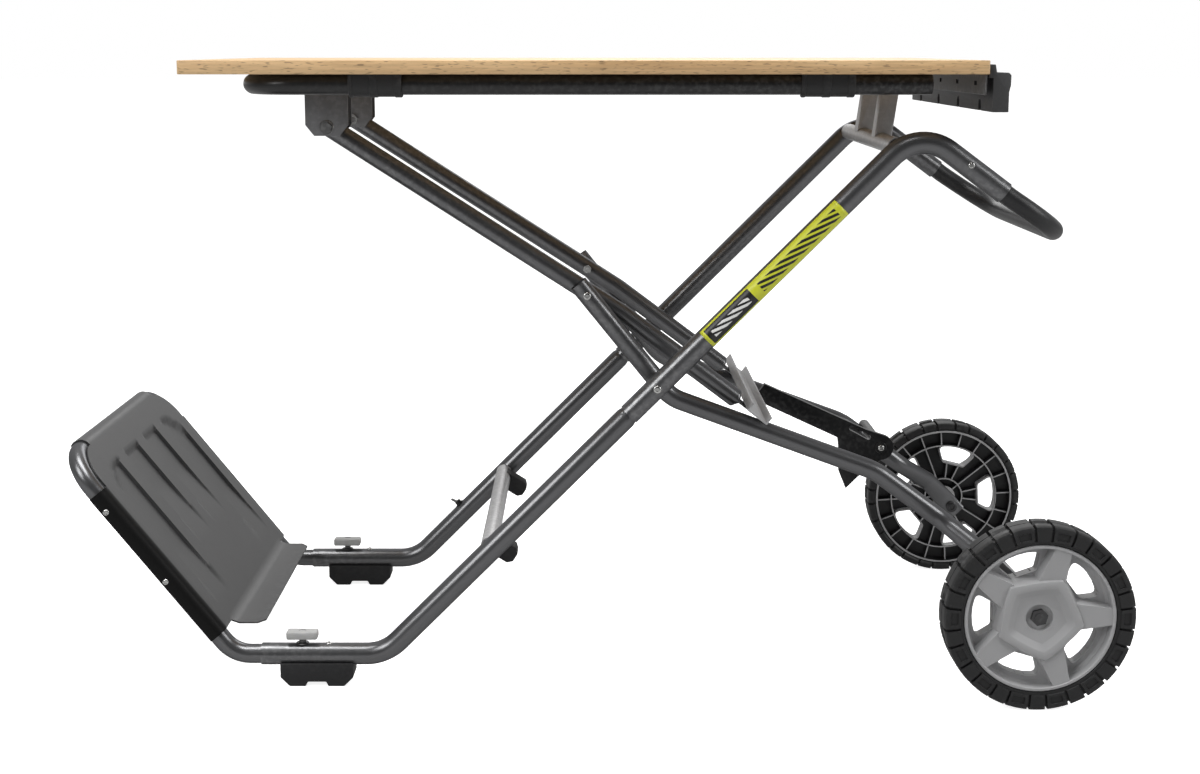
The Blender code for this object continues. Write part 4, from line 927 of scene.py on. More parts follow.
def rim_with_painted_shade():
    """Grey plastic outside; inside the rim it is coloured near-black as painted shade, but for the edges of
    its ribs.
    """
    material = coated("rim_plastic", (0.35, 0.35, 0.355), 0.46, 0.0, drift=0.04, peel=1200.0, bump=0.05,
                      worn=(0.56, 0.56, 0.56))
    tree = material.node_tree
    shader = tree.nodes["Principled BSDF"].inputs
    grey = shader["Base Color"].links[0].from_socket
    where = tree.nodes.new("ShaderNodeTexCoord").outputs
    side = sums(tree, "ABSOLUTE", node(tree, "SeparateXYZ", {}, where["Object"]).outputs["Y"])
    facing = sums(tree, "ABSOLUTE", node(tree, "SeparateXYZ", {}, where["Normal"]).outputs["Y"])
    depth = sums(tree, "SUBTRACT", side, wheel_y)
    rear = sums(tree, "LESS_THAN", depth, -0.0125)
    front = sums(tree, "GREATER_THAN", depth, -0.0036)
    edge = sums(tree, "MULTIPLY", sums(tree, "GREATER_THAN", facing, 0.7), rear)
    light = sums(tree, "MAXIMUM", front, edge)
    # Painted shade: the rim's inner side behind the web is coloured near-black where shade falls; only the
    # outer face and the rib edges keep the grey.
    tree.links.new(blend(tree, light, (0.010, 0.010, 0.011, 1), grey), shader["Base Color"])
    return material


rim_plastic = rim_with_painted_shade()


def rounded(corners, radii, steps=5):
    """A closed outline with each corner eased over its own distance."""
    points = []
    for index, (corner, radius) in enumerate(zip(corners, radii)):
        before, after = corners[index - 1], corners[(index + 1) % len(corners)]
        if not radius:
            points.append(corner)
            continue
        start = corner + (before - corner).normalized() * radius
        end = corner + (after - corner).normalized() * radius
        for step in range(steps + 1):
            t = step / steps
            points.append(start.lerp(corner, t).lerp(corner.lerp(end, t), t))
    return points


def window_outline(middle, spare):
    """One window in the wheel's plane, widened by spare, with round outer corners."""
    outer = circle_radius - circle_wall + min(spare, circle_wall / 2)
    wide = window_half + spare / circle_radius
    polar = [(outer, wide * t) for t in (-1, -0.4, 0, 0.4, 1)]
    polar += [(window_inner - spare, wide * 0.8), (window_inner - spare, -wide * 0.8)]
    corners = [rim_place + heading(middle + a) * r for r, a in polar]
    return rounded(corners, (0.009, 0, 0, 0, 0.009, 0.003, 0.003))


def bulged(radius, bulge, steps=6):
    """A five-sided outline round the hub whose sides swell outwards."""
    points = []
    for index in range(spokes):
        start = boss_angle + math.tau * index / spokes
        end = start + math.tau / spokes
        for step in range(steps):
            t = step / steps
            point = (heading(start) * radius).lerp(heading(end) * radius, t)
            points.append(point * (1 + bulge * 4 * t * (1 - t)))
    return points


def boss_tiers():
    """The five-sided boss: outer slope, shoulder, recess wall and sunk floor."""
    tiers = [
        (boss_vertex + 0.0060, web_back / 2, 0.050),
        (boss_vertex + 0.0012, boss_face - 0.0055, 0.050),
        (boss_vertex - 0.0012, boss_face - 0.0005, 0.050),
        (boss_vertex - 0.0030, boss_face, 0.050),
        (boss_recess + 0.0035, boss_face, 0.055),
        (boss_recess + 0.0022, boss_face - 0.0006, 0.055),
        (boss_recess - 0.0060, boss_face - boss_sink + 0.0006, 0.055),
        (boss_recess - 0.0075, boss_face - boss_sink, 0.055),
    ]
    bm = bmesh.new()
    loops = []
    for radius, distance, bulge in tiers:
        place = sideways(wheel_centre, -wheel_y - distance)
        ring = [bm.verts.new(place + point) for point in bulged(radius, bulge)]
        loops.append([bm.edges.new((a, b)) for a, b in zip(ring, ring[1:] + ring[:1])])
    for first, second in zip(loops, loops[1:]):
        bmesh.ops.bridge_loops(bm, edges=first + second)
    bmesh.ops.holes_fill(bm, edges=loops[0], sides=0)
    bmesh.ops.holes_fill(bm, edges=loops[-1], sides=0)
    bmesh.ops.recalc_face_normals(bm, faces=bm.faces)
    return bm


def rim_parts():
    """Spokes, ribs and window frames, and the windows that are cut."""
    spoke_bm, rib_bm, window_bm, frame_bm = bmesh.new(), bmesh.new(), bmesh.new(), bmesh.new()

    def rib(angle, inner_radius, outer_radius):
        tangent = heading(angle + math.pi / 2) * rib_half
        inner = rim_place + heading(angle) * inner_radius
        outer = rim_place + heading(angle) * outer_radius
        add_prism(rib_bm, [inner + tangent, inner - tangent, outer - tangent, outer + tangent],
                  -circle_depth * 0.9, web_back / 2, rim_axis)

    for index in range(spokes):
        angle = spoke_angle + math.tau * index / spokes
        radial = heading(angle)
        tangent = heading(angle + math.pi / 2)
        inner = rim_place + radial * (boss_recess + 0.004)
        outer = rim_place + radial * (barrel + 0.001)
        corners = [inner + tangent * spoke_root, inner - tangent * spoke_root,
                   outer - tangent * spoke_tip, outer + tangent * spoke_tip]
        for vert in add_prism(spoke_bm, corners, web_back / 2, spoke_rise, rim_axis):
            offset = vert.co - rim_place
            along, sideway = offset.dot(radial), offset.dot(tangent) * spoke_taper
            height = spoke_rise if along < boss_vertex else spoke_tip_rise
            vert.co = rim_place + radial * along + tangent * sideway + rim_axis * height
        middle = spoke_angle + math.tau * (index + 0.5) / spokes
        add_prism(window_bm, window_outline(middle, 0), -2 * circle_depth, 2 * circle_depth, rim_axis)
        add_prism(frame_bm, window_outline(middle, window_wall), -circle_depth, web_back / 2, rim_axis)
        for side_angle in (-hub_rib_angle, hub_rib_angle):
            rib(middle + side_angle, hub_ring - circle_wall / 2, window_inner - window_wall / 2)
    per_spoke = rib_count // spokes
    for index in range(rib_count):
        angle = spoke_angle + math.tau * index / rib_count
        inner_radius = circle_radius - circle_wall / 2 if index % per_spoke else hub_radius * 0.9
        rib(angle, inner_radius, flange_radius - flange_wall / 2)
    for bm in (spoke_bm, rib_bm, window_bm, frame_bm):
        bmesh.ops.recalc_face_normals(bm, faces=bm.faces)
    return spoke_bm, rib_bm, window_bm, frame_bm


def rim(label, outward):
    """Made as the near rim; the far one is its mirror image, stopped at another angle."""
    profile = [
        (hub_bore, -hub_inner), (hub_radius - 0.001, -hub_inner), (hub_radius, -hub_inner + 0.001),
        (hub_radius, web_back), (hub_ring - circle_wall, web_back), (hub_ring - circle_wall, -circle_depth),
        (hub_ring, -circle_depth), (hub_ring, web_back), (circle_radius - circle_wall, web_back),
        (circle_radius - circle_wall, -circle_depth), (circle_radius, -circle_depth),
        (circle_radius, web_back), (flange_radius - flange_wall, web_back),
        (flange_radius - flange_wall, -barrel_half), (flange_radius - 0.0006, -barrel_half),
        (flange_radius, -barrel_half + 0.0006), (flange_radius, 0), (rim_radius, 0),
        (rim_radius, barrel_half - 0.001), (rim_radius - 0.001, barrel_half),
        (barrel, barrel_half), (barrel - 0.0008, barrel_half - 0.001), (barrel - 0.0012, 0.0045),
        (barrel - 0.0045, 0.0005), (circle_radius, 0.0), (hub_bore, 0.0),
    ]
    obj = piece(f"{label}_rim", turned(profile, rim_place, rim_axis, 96, ring=True), f"{label}_wheel",
                rim_plastic, [f"{label}_wheel_rim"])
    spoke_bm, rib_bm, window_bm, frame_bm = rim_parts()
    frames = piece(f"{label}_window_frames", frame_bm, f"{label}_wheel", frame_plastic)
    cut(frames, window_bm.copy())
    cut(obj, rib_bm, "UNION")
    cut(obj, window_bm)
    cut(obj, spoke_bm, "UNION")
    cut(obj, boss_tiers(), "UNION")
    bore = hub_bore + 0.0002
    pocket = [(0, -2 * hub_inner), (bore, -2 * hub_inner), (bore, hub_face), (pocket_radius, hub_face),
              (pocket_radius + 0.0008, boss_face - boss_sink - 0.0004),
              (pocket_radius + 0.0016, 2 * boss_face), (0, 2 * boss_face)]
    cut(obj, turned(pocket, rim_place, rim_axis, 50))
    if outward > 0:
        spun = Matrix.Translation(wheel_centre) @ Matrix.Rotation(-far_turn, 4, "Y")
        spun = spun @ Matrix.Translation(-wheel_centre) @ Matrix.Diagonal((1, -1, 1, 1))
        for made in (obj, frames):
            made.data.transform(spun)
            made.data.flip_normals()


lugs = 14
lug_period = math.tau / lugs
lug_depth = 0.0060
lug_side = 0.0036
lug_pocket = 0.0018
tread_start = 0.118
lug_columns = [0.0, 0.008, 0.085, 0.097, 0.25, 0.403, 0.415, 0.502, 0.510, 0.565, 0.573, 0.66, 0.76, 0.86,
               0.937, 0.945]
lug_kinds = ["gap", "wide", "wide", "sunk", "sunk", "sunk", "wide", "wide", "gap", "gap", "narrow", "narrow",
             "narrow", "narrow", "narrow", "gap"]


def tyre(label, outward):
    """A spun tyre whose columns are set to the lugs' edges, with the gaps pressed in."""
    axis = y_way * outward
    place = sideways(wheel_centre, outward * wheel_y)
    inner = rim_radius + gap
    half = tyre_half
    flange = flange_radius + gap
    tread = [(0.1165, half * 0.985), (0.1195, half * 0.93), (0.1208, half * 0.80), (tyre_radius, half * 0.60),
             (tyre_radius, half * 0.30), (tyre_radius, half * 0.14), (0.1168, half * 0.09)]
    profile = [(flange, gap), (inner, gap), (inner, half * 0.80), (inner + 0.0015, half * 0.88),
               (inner + 0.0045, half * 0.90), (inner + 0.0052, half * 0.99), (0.1040, half), (0.1048, half),
               (0.1130, half), (0.1138, half), *tread]
    profile += [(r, -d) for r, d in reversed(tread)]
    profile += [(0.1125, -half), (flange + 0.0010, -half * 0.90), (flange, -half * 0.80)]
    steps = lugs * len(lug_columns)
    bm = turned(profile, place, axis, steps, ring=True)
    across = axis.orthogonal().normalized()
    along = axis.cross(across)
    for vert in bm.verts:
        offset = vert.co - place
        distance = offset.dot(axis)
        flat = offset - axis * distance
        radius = flat.length
        number = round(math.atan2(flat.dot(along), flat.dot(across)) / math.tau * steps) % steps
        period, column = divmod(number, len(lug_columns))
        angle = (period + lug_columns[column]) * lug_period
        kind = lug_kinds[column]
        out = math.copysign(1, distance)
        on_tread = radius > tread_start
        if kind == "gap" and on_tread:
            radius -= lug_depth
        if kind == "gap" and radius > inner + 0.005 and abs(distance) > half * 0.9:
            distance -= out * lug_side
        if kind == "sunk" and 0.1044 < radius < 0.1134 and distance > 0:
            distance -= lug_pocket
        if kind != "gap" and on_tread and abs(distance) < half * 0.2:
            distance += out * half * (0.16 if kind == "narrow" else -0.10)
        vert.co = place + axis * distance + (across * math.cos(angle) + along * math.sin(angle)) * radius
    bmesh.ops.recalc_face_normals(bm, faces=bm.faces)
    piece(f"{label}_tyre_rubber", bm, f"{label}_wheel", tyre_rubber, [f"{label}_tyre"], smooth=24)


axle_bore = 0.0063
axle_nut = 0.005
axle_nut_radius = 0.0112
axle_radius = 0.006
axle_head = 0.0085
axle_slack = 0.0005
# Dark zinc that is partly painted shade: the nut sits deep in the hub pocket, and this colour is darkened to
# stand in for the shade there; the stub axle shares it.
dark_zinc_and_shade = coated("dark_zinc_and_shade", (0.075, 0.075, 0.076), 0.36, 0.9, drift=0.12, peel=1200.0, bump=0.05,
                   worn=(0.2, 0.2, 0.2))
for label, outward in both_sides:
    rim(label, outward)
    tyre(label, outward)
    axis = y_way * outward
    tail = wheel_y + hub_face + axle_nut + 2 * gap
    outer = axle_y + flat_section[1] + gap + axle_slack
    inner = axle_y - flat_section[1] - gap - axle_slack
    sleeve_end = wheel_y - hub_inner - gap
    bm = dome_bolt(wheel_centre, -axis, -inner, -tail, axle_radius, axle_head, pivot_height)
    piece(f"{label}_stub_axle", bm, "wheel_frame", dark_zinc_and_shade, [f"{label}_axle_bolt"])
    bm = turned([(axle_bore, outer), (0.0100, outer), (0.0105, outer + 0.0005), (0.0105, sleeve_end - 0.0005),
                 (0.0100, sleeve_end), (axle_bore, sleeve_end)], wheel_centre, axis, 32, ring=True)
    piece(f"{label}_axle_sleeve", bm, "wheel_frame", zinc_plate, [f"{label}_axle_spacer"])
    nut_seat = wheel_y + hub_face
    bm = hex_nut(wheel_centre, axis, nut_seat + gap, nut_seat + axle_nut, axle_bore, axle_nut_radius)
    piece(f"{label}_axle_hex_nut", bm, "wheel_frame", dark_zinc_and_shade, [f"{label}_axle_nut"])

# Link frame: two arms from the table's pivot past the link pivot to a folded channel that
# comes to rest on the wheel tubes. The arms are pressed flat under the channel's web.
table_pivot = spot(-0.339, 0.7295)
channel_web = 0.033
channel_flange = 0.0125
channel_thickness = 0.0025
channel_half = 0.1716
channel_slope = math.radians(37.8)
tongue_half = 0.0026
tongue_lead = 0.004
neck_length = 0.008
arm_bend_x = 0.045
channel_way = heading(-channel_slope)
channel_up = heading(math.pi / 2 - channel_slope)
channel_x = 0.236
tube_top = wheel_elbow + z_way * (wheel_radius / math.cos(knee_drop) + gap)
channel_low = tube_top + fall(channel_x - centre_shift - wheel_elbow.x, knee_drop)
channel_left = channel_low - channel_way * channel_web
arm_up = (table_pivot - link_pivot).normalized()
arm_bend = link_pivot - arm_up * (arm_bend_x / abs(arm_up.x))
under = channel_up * (tongue_half + gap)
tongue_start = channel_left - channel_way * tongue_lead - under
tongue_end = channel_left + channel_way * (channel_web * 0.45) - under
neck = tongue_start - channel_way * neck_length
tongue = (tongue_half, wheel_radius)
arm_bend_radius = 0.15
neck_bend = 0.08
for label, outward in both_sides:
    y = outward * link_y
    flattening = eased((neck + channel_way * 0.001, round_wheel), (tongue_start, tongue), 7)
    bm = tube(run(y, (table_pivot + arm_up * wheel_radius, 0, round_wheel),
                  (arm_bend, arm_bend_radius, round_wheel), (neck, neck_bend, round_wheel), *flattening,
                  (tongue_start, 0, tongue), (tongue_end, 0, tongue)), wheel_wall)
    piece(f"{label}_arm", bm, "link_frame", gunmetal_paint, [f"{label}_link_tube"])
t = channel_thickness
rise = channel_up * channel_flange
low, high = channel_left, channel_low
outline = [low, high, high + rise, high + rise - channel_way * t, high - channel_way * t + channel_up * t,
           low + channel_way * t + channel_up * t, low + rise + channel_way * t, low + rise]
piece("channel", prism(outline, -channel_half, channel_half, soften=0.0006), "link_frame", light_paint,
      ["cross_channel"])

# Latch: a black steel lever on a pin tube that stands off the far wheel tube. Its tip meets
# the channel, its tail hangs below as a finger pull, and a slot leaves room for a spring.
latch_pivot = spot(0.4184, 0.2690)
latch_half = 0.005
pin_radius = 0.008
tip_gap = 0.0012
bar_drop = 0.0114
bar_width = 0.0263
latch_black = coated("latch_paint", (0.006, 0.006, 0.0065), 0.36, 0.0, drift=0.03, peel=900.0, bump=0.02,
                     worn=(0.08, 0.08, 0.08), specular=0.3)
line = wheel_knee + fall(latch_pivot.x - wheel_knee.x, shin_drop)
above = (latch_pivot - line).dot(heading(math.pi / 2 - shin_drop))
pin_end = wheel_frame_y - math.sqrt(wheel_radius**2 - (above - pin_radius) ** 2) - gap
pin_start = -latch_half - 0.0015
bm = turned([(0, pin_start), (pin_radius - 0.0008, pin_start), (pin_radius, pin_start + 0.0008),
             (pin_radius, pin_end), (0, pin_end)], latch_pivot, y_way, tube_sides)
piece("latch_tube", bm, "wheel_frame", latch_black, ["latch_cross_tube"])
screw("latch_screw", "wheel_frame", sideways(latch_pivot, pin_start), -y_way, 0.0048, 0.0026)
bar_slope = math.radians(24.5)
back = heading(math.pi - bar_slope)
up = heading(math.pi / 2 - bar_slope)
swept = (channel_low + channel_up * channel_flange - link_pivot).length + tip_gap
bar_low = latch_pivot - up * bar_drop
bar_high = bar_low + up * bar_width
tips = []
for start in (bar_high, bar_low):
    offset = start - link_pivot
    along = -offset.dot(back)
    root = math.sqrt(along**2 - offset.length_squared + swept**2)
    tips.append(start + back * (along - root))
tip_high = bar_high + back * (tips[0] - bar_high).dot(back)
eye_radius = 0.0182
eye = [latch_pivot + heading(math.radians(angle)) * eye_radius for angle in range(64, -91, -11)]
finger_pull = [latch_pivot + Vector((x, 0, z)) for x, z in
               ((-0.0575, 0.0125), (-0.0613, 0.0130), (-0.0598, 0.0010), (-0.0590, -0.0343),
                (-0.0486, -0.0600), (-0.0320, -0.0430))]
outline = [tip_high, tips[1], *finger_pull, *reversed(eye), bar_high + back * 0.030]
lever = piece("latch_plate", prism(outline, -latch_half, latch_half, soften=0.0007), "latch", latch_black,
              ["latch_lever"])
cut(lever, rod(pin_radius + 0.0005, 1, latch_pivot, y_way))
slot_slope = 29
slot_length = 0.028
slot_radius = 0.0035
slot_left = latch_pivot + Vector((-0.0425, 0, 0.0285))
slot_right = slot_left + heading(math.radians(-slot_slope)) * slot_length
slot_outline = [middle + heading(math.radians(angle - slot_slope)) * slot_radius
                for middle, start in ((slot_right, -90), (slot_left, 90))
                for angle in range(start, start + 181, 20)]
cut(lever, prism(slot_outline, -0.05, 0.05))

# Table top: one board of beech with softened corners, held by clips on a U-shaped rail.
# Solid-looking beech, oiled: fine pale grain along its length with short dark flecks.
top_left = -0.5015
top_length = 0.994
top_width = 0.508
top_height = 0.817
top_thickness = 0.017
top_under = top_height - top_thickness


def beech():
    """Pale grain drawn out along the board, with fine streaks and short dark flecks."""
    material, tree, shader = surface("beech_board")
    place = object_place(tree)

    def drawn_out(stretch, scale, **settings):
        where = node(tree, "Mapping", {}, Vector=place, Scale=stretch).outputs[0]
        return noise(tree, where, scale, **settings)

    grain = drawn_out((1.2, 16.0, 16.0), 3.0, Detail=6.0, Roughness=0.62, Distortion=0.4)
    fine = drawn_out((18.0, 420.0, 420.0), 1.0, Detail=3.0)
    fleck = drawn_out((95.0, 700.0, 520.0), 1.0, Detail=1.0)
    tones = node(tree, "ValToRGB", {}, grain)
    ends = tones.color_ramp.elements
    ends[0].position, ends[0].color = 0.32, (0.52, 0.325, 0.155, 1)
    ends[1].position, ends[1].color = 0.70, (0.70, 0.48, 0.255, 1)
    mark = ranged(tree, fleck, 0.60, 0.70, 1.0, 0.52)
    shade = sums(tree, "MULTIPLY", ranged(tree, fine, 0.35, 0.65, 0.86, 1.06), mark)
    tree.links.new(scaled(tree, tones.outputs["Color"], shade), shader["Base Color"])
    tree.links.new(ranged(tree, grain, 0.0, 1.0, 0.42, 0.60), shader["Roughness"])
    grained(tree, shader, sums(tree, "MULTIPLY", fine, mark), 0.16, 0.0006)
    return material


board = block(spot(top_left, top_under, -top_width / 2),
              spot(top_left + top_length, top_height, top_width / 2), 0)
uprights = [edge for edge in board.edges if abs(edge.verts[0].co.z - edge.verts[1].co.z) > 0.01]
bmesh.ops.bevel(board, geom=uprights, offset=0.003, segments=4, affect="EDGES", profile=0.5, material=-1)
level = [edge for edge in board.edges if abs(edge.verts[0].co.z - edge.verts[1].co.z) < 1e-5
         and edge.calc_face_angle(0) > 1]
bmesh.ops.bevel(board, geom=level, offset=0.0008, segments=2, affect="EDGES", profile=0.5, material=-1)
piece("board", board, "table", beech(), ["worktop"])

# Rail and clips: a U of black-painted tube under the board, held by four ribbed plastic
# saddles that are screwed up into the wood. Its open ends stop short of the tray.
rail_radius = 0.0127
rail_wall = 0.0015
rail_y = 0.225
rail_left = -0.425
rail_right = 0.427
rail_bend = 0.060
rail_z = top_under - gap - rail_radius
clip_half = 0.033
clip_wall = 0.003
clip_places = (("left", -0.262), ("right", 0.298))
rail_paint = coated("rail_paint", (0.014, 0.014, 0.0145), 0.33, 0.15, drift=0.04, peel=800.0, bump=0.02,
                    worn=(0.10, 0.10, 0.10), specular=0.5)
clip_plastic = coated("clip_plastic", (0.015, 0.015, 0.0155), 0.50, 0.0, drift=0.15, peel=1300.0, bump=0.1,
                      worn=(0.05, 0.05, 0.05), specular=0.4)
round_rail = (rail_radius, rail_radius)
clip_bands = ((-1.0, 1), (-0.97, 0), (-0.86, 0), (-0.84, 1), (-0.22, 1), (-0.20, 0), (0.08, 0), (0.10, 1),
              (0.72, 1), (0.74, 0), (0.97, 0), (1.0, 1))
band_depth = 0.0008


def banded_saddle(centre, y, outer):
    """A U-shaped section drawn out along the rail, pressed in a little at its bands."""
    bm = bmesh.new()
    axis_place = spot(0, rail_z, y)
    corners = [Vector((0, -outer, top_under - gap - rail_z)), Vector((0, -outer, 0))]
    for a in map(math.radians, range(195, 346, 15)):
        corners.append(Vector((0, math.cos(a), math.sin(a))) * outer)
    corners += [Vector((0, outer, 0)), Vector((0, outer, top_under - gap - rail_z))]
    face = bm.faces.new([bm.verts.new(axis_place + corner) for corner in corners])
    for number, (step, pressed) in enumerate(clip_bands):
        if number:
            older = face
            made = bmesh.ops.extrude_face_region(bm, geom=[face])["geom"]
            face = next(item for item in made if isinstance(item, bmesh.types.BMFace))
            if number > 1 and older.is_valid:
                bmesh.ops.delete(bm, geom=[older], context="FACES_ONLY")
        for vert in face.verts:
            vert.co.x = centre - centre_shift + step * clip_half
            flat = Vector((0, vert.co.y - y, min(0.0, vert.co.z - rail_z)))
            if flat.length > 0:
                scale = (outer - pressed * band_depth) / flat.length
                vert.co.y = y + flat.y * scale
                if vert.co.z < rail_z:
                    vert.co.z = rail_z + flat.z * scale
    bmesh.ops.recalc_face_normals(bm, faces=bm.faces)
    return bm


bm = tube(u_run(rail_y, (spot(rail_right, rail_z), 0, round_rail),
                (spot(rail_left, rail_z), rail_bend, round_rail)), rail_wall)
piece("rail", bm, "table", rail_paint, ["table_rail"])
for label, outward in both_sides:
    for side_name, centre in clip_places:
        y = outward * rail_y
        bore = rail_radius + gap
        outer = bore + clip_wall
        clip = piece(f"{label}_{side_name}_clip", banded_saddle(centre, y, outer), "table", clip_plastic,
                     [f"{label}_{side_name}_rail_clip"])
        cut(clip, rod(bore + gap, 0.1, spot(centre, rail_z, y), x_way))

# Table brackets: folded steel clevises screwed under the board, each held to its arm by a
# bolt with a hex nut. Mid-grey satin paint on 3 mm sheet, with cut lower corners.
bracket_half = 0.028
bracket_drop = 0.011
bracket_chamfer = 0.014
bracket_inside = wheel_radius + 0.0015
bracket_sheet = 0.003
bolt_steel = coated("bolt_steel", (0.22, 0.22, 0.22), 0.34, 0.9, drift=0.1, peel=1200.0, bump=0.05,
                    worn=(0.4, 0.4, 0.4))
bracket_paint = coated("bracket_paint", (0.165, 0.165, 0.17), 0.42, 0.45, drift=0.04, peel=900.0, bump=0.05,
                       speck=0.15, worn=(0.36, 0.36, 0.36), edge_tint=(0.5, 0.5, 0.5))
for label, outward in both_sides:
    y = outward * link_y
    left, right = table_pivot.x - bracket_half, table_pivot.x + bracket_half
    low, high = table_pivot.z - bracket_drop, top_under - gap
    inset = bracket_chamfer * 0.8
    outline = [Vector((x, 0, z)) for x, z in
               ((left, high), (left, low + bracket_chamfer), (left + inset, low), (right - inset, low),
                (right, low + bracket_chamfer), (right, high))]
    width = bracket_inside + bracket_sheet
    clevis = piece(f"{label}_clevis", prism(outline, y - width, y + width, soften=0.0007), "table",
                   bracket_paint, [f"{label}_table_bracket"])
    cut(clevis, block((left - 0.1, y - bracket_inside, low - 0.1),
                      (right + 0.1, y + bracket_inside, high - bracket_sheet), 0))
    axis = y_way * outward
    outer = link_y + bracket_inside + bracket_sheet + gap
    inner = link_y - bracket_inside - bracket_sheet - gap
    shank_bm, head_bm = hex_bolt(table_pivot, axis, outer, inner - bolt_end, shank_radius,
                                 bolt_radius * 0.98, bolt_height)
    bolt = piece(f"{label}_clevis_bolt", shank_bm, "table", bolt_steel, [f"{label}_table_bolt"])
    cut(bolt, head_bm, "UNION")
    bm = hex_nut(table_pivot, axis, inner - 0.0047, inner, nut_bore, bolt_radius * 1.1)
    piece(f"{label}_clevis_nut", bm, "table", zinc_plate, [f"{label}_table_nut"])

# Tool tray: a slotted steel strip under the end of the board and a moulded comb beyond it
# with notches for clamps and tools. The tray is black plastic, ribbed on its inner face.
strip_right = top_left + top_length - 0.003
strip_left = strip_right - 0.002
strip_height = 0.025
strip_half = top_width / 2 - 0.003
notch_pitch = 0.120
slit_half = 0.007
slit_height = 0.005
tray_paint = coated("tray_strip_paint", (0.060, 0.060, 0.061), 0.42, 0.3, drift=0.1, peel=900.0, bump=0.05,
                    worn=(0.2, 0.2, 0.2))
strip = piece("tray_strip", block(spot(strip_left, top_under - gap - strip_height, -strip_half),
                                  spot(strip_right, top_under - gap, strip_half), 0.0005, 1),
              "table", tray_paint, ["tray_plate"])
for index in range(-2, 3):
    y = index * notch_pitch / 1.2
    low = top_under - gap - strip_height * 0.55
    cut(strip, block(spot(strip_left - 0.01, low, y - slit_half),
                     spot(strip_right + 0.01, low + slit_height, y + slit_half), 0))
tray_plastic = coated("tray_plastic", (0.040, 0.040, 0.041), 0.48, 0.0, drift=0.12, peel=1300.0, bump=0.1,
                      worn=(0.09, 0.09, 0.09), specular=0.45)
end = top_left + top_length
face = end + gap
tray_back = end + 0.028
tray_top = top_height - 0.005
tray_bottom = top_height - 0.0635
shelf = tray_top - 0.010
tray_half = 0.246
tray_inner = end + 0.006
tray_under = top_under - gap - 0.004
outline = [
    spot(face, tray_top), spot(face + 0.008, tray_top), spot(face + 0.010, shelf),
    spot(tray_back - 0.003, shelf), spot(tray_back, shelf - 0.003), spot(tray_back, shelf - 0.015),
    spot(tray_back - 0.002, shelf - 0.024), spot(tray_back - 0.002, tray_bottom),
    spot(tray_inner, tray_bottom), spot(tray_inner, tray_under), spot(face, tray_under),
]
tray = piece("comb_tray", prism(outline, -tray_half, tray_half, soften=0.0008), "table", tray_plastic,
             ["tool_tray"])
for index in (-1.5, -0.5, 0.5, 1.5):
    y = index * notch_pitch
    shape = [Vector((0, y + across, tray_bottom + up)) for across, up in
             ((-0.0065, -0.01), (0.0065, -0.01), (0.0065, 0.0098), (0.0033, 0.014), (-0.0033, 0.014),
              (-0.0065, 0.0098))]
    cut(tray, prism(shape, tray_inner - centre_shift - 0.02, tray_inner - centre_shift + 0.003, x_way))
    reach = notch_pitch / 2 - 0.003
    cut(tray, block(spot(tray_inner + 0.003, tray_bottom - 0.01, y - reach),
                    spot(tray_back - 0.005, shelf - 0.027, y + reach), 0))

# Studio: a pale floor under soft lamps, and the camera of the photograph.
# The floor isn't part of the bench. Lamps are large so that tubes show long soft lights.
world = bpy.data.worlds.new("studio")
bpy.context.scene.world = world
world.use_nodes = True
tree = world.node_tree
look = tree.nodes.new("ShaderNodeTexCoord").outputs["Generated"]
towards = node(tree, "SeparateXYZ", {}, look).outputs["Y"]
glow = node(tree, "ValToRGB", {}, ranged(tree, towards, -1.0, 1.0))
ends = glow.color_ramp.elements
ends[0].position, ends[0].color = 0.10, (0.03, 0.03, 0.03, 1)
ends[1].position, ends[1].color = 0.95, (0.85, 0.85, 0.85, 1)
ends.new(0.5).color = (0.24, 0.24, 0.24, 1)
backdrop = tree.nodes["Background"]
backdrop.inputs["Strength"].default_value = 1.0
tree.links.new(glow.outputs["Color"], backdrop.inputs["Color"])
seen = node(tree, "Background", {}, Color=(1, 1, 1, 1), Strength=1.0)
camera_ray = tree.nodes.new("ShaderNodeLightPath").outputs["Is Camera Ray"]
mixed = node(tree, "MixShader", {}, camera_ray, backdrop.outputs[0], seen.outputs[0])
tree.links.new(mixed.outputs[0], tree.nodes["World Output"].inputs["Surface"])
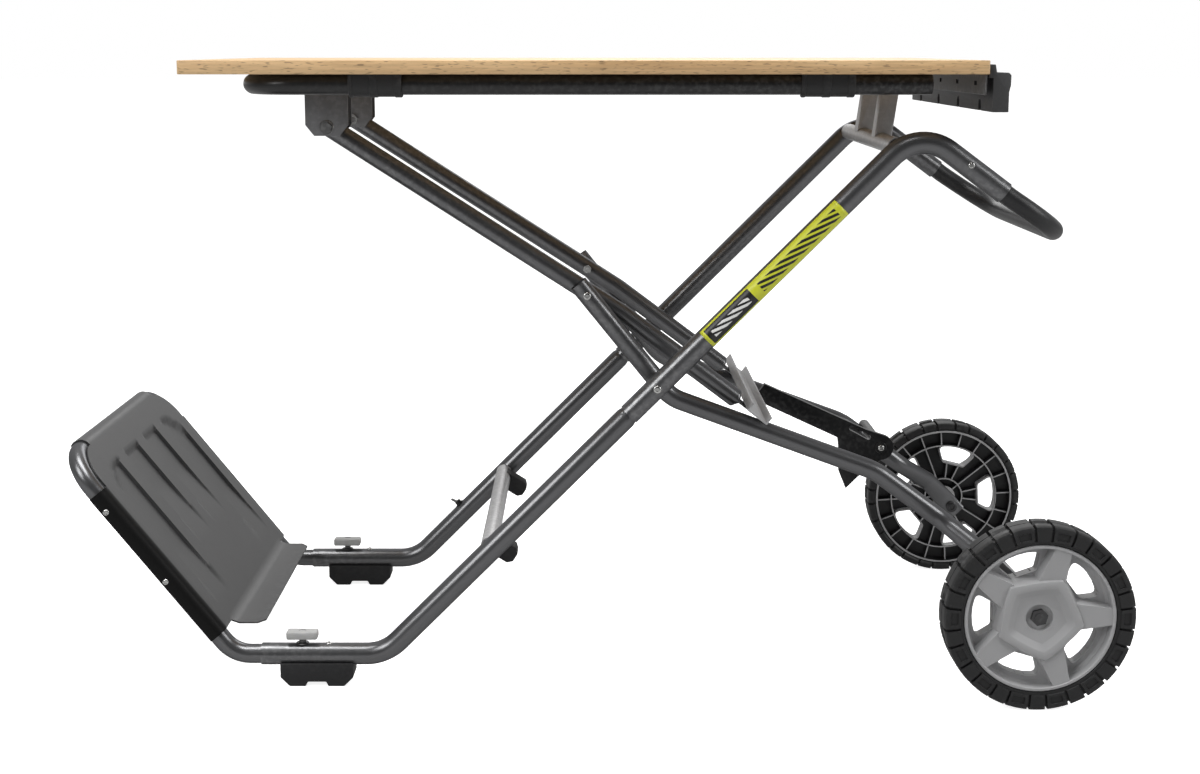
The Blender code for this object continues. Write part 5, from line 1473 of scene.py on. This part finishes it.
floor_bm = bmesh.new()
bmesh.ops.create_grid(floor_bm, x_segments=2, y_segments=2, size=40,
                      matrix=Matrix.Translation((0, 0, -0.0005)))
floor_mesh = bpy.data.meshes.new("floor")
floor_bm.to_mesh(floor_mesh)
floor_bm.free()
floor = bpy.data.objects.new("floor", floor_mesh)
bpy.context.collection.objects.link(floor)
floor_paint, tree, shader = surface("floor_paint")
shader["Roughness"].default_value = 0.9
shader["Emission Color"].default_value = (1, 1, 1, 1)
camera_ray = tree.nodes.new("ShaderNodeLightPath").outputs["Is Camera Ray"]
tree.links.new(ranged(tree, camera_ray, 0.0, 1.0, 0.18, 0.85), shader["Emission Strength"])
tree.links.new(ranged(tree, camera_ray, 0.0, 1.0, 0.35, 0.85), shader["Base Color"])
floor_mesh.materials.append(floor_paint)


def lamp(name, place, aim, width, height, power):
    data = bpy.data.lights.new(name, "AREA")
    data.shape = "RECTANGLE"
    data.size = width
    data.size_y = height
    data.energy = power
    obj = bpy.data.objects.new(name, data)
    obj.location = place
    obj.rotation_mode = "QUATERNION"
    obj.rotation_quaternion = (Vector(aim) - Vector(place)).to_track_quat("-Z", "Y")
    bpy.context.collection.objects.link(obj)


lamp("top_lamp", (-0.4, -0.6, 3.2), (0, 0, 0.4), 2.4, 1.2, 90)
lamp("left_lamp", (-2.6, -2.2, 2.2), (0, 0, 0.4), 1.6, 1.6, 55)
lamp("right_lamp", (3.0, -1.2, 1.6), (0, 0, 0.4), 1.2, 1.6, 36)
lamp("back_lamp", (0.5, 3.0, 2.4), (0, 0, 0.4), 2.0, 1.2, 30)

camera_data = bpy.data.cameras.new("camera")
camera_data.sensor_width = 36
camera_data.lens = 48
camera_data.shift_x = 0.0107
camera_data.shift_y = -0.08
camera = bpy.data.objects.new("camera", camera_data)
camera.location = (-centre_shift, -2.225, 0.832)
camera.rotation_euler = (math.radians(81.36), 0, 0)
bpy.context.collection.objects.link(camera)
bpy.context.scene.camera = camera
bpy.context.scene.view_settings.view_transform = "Standard"
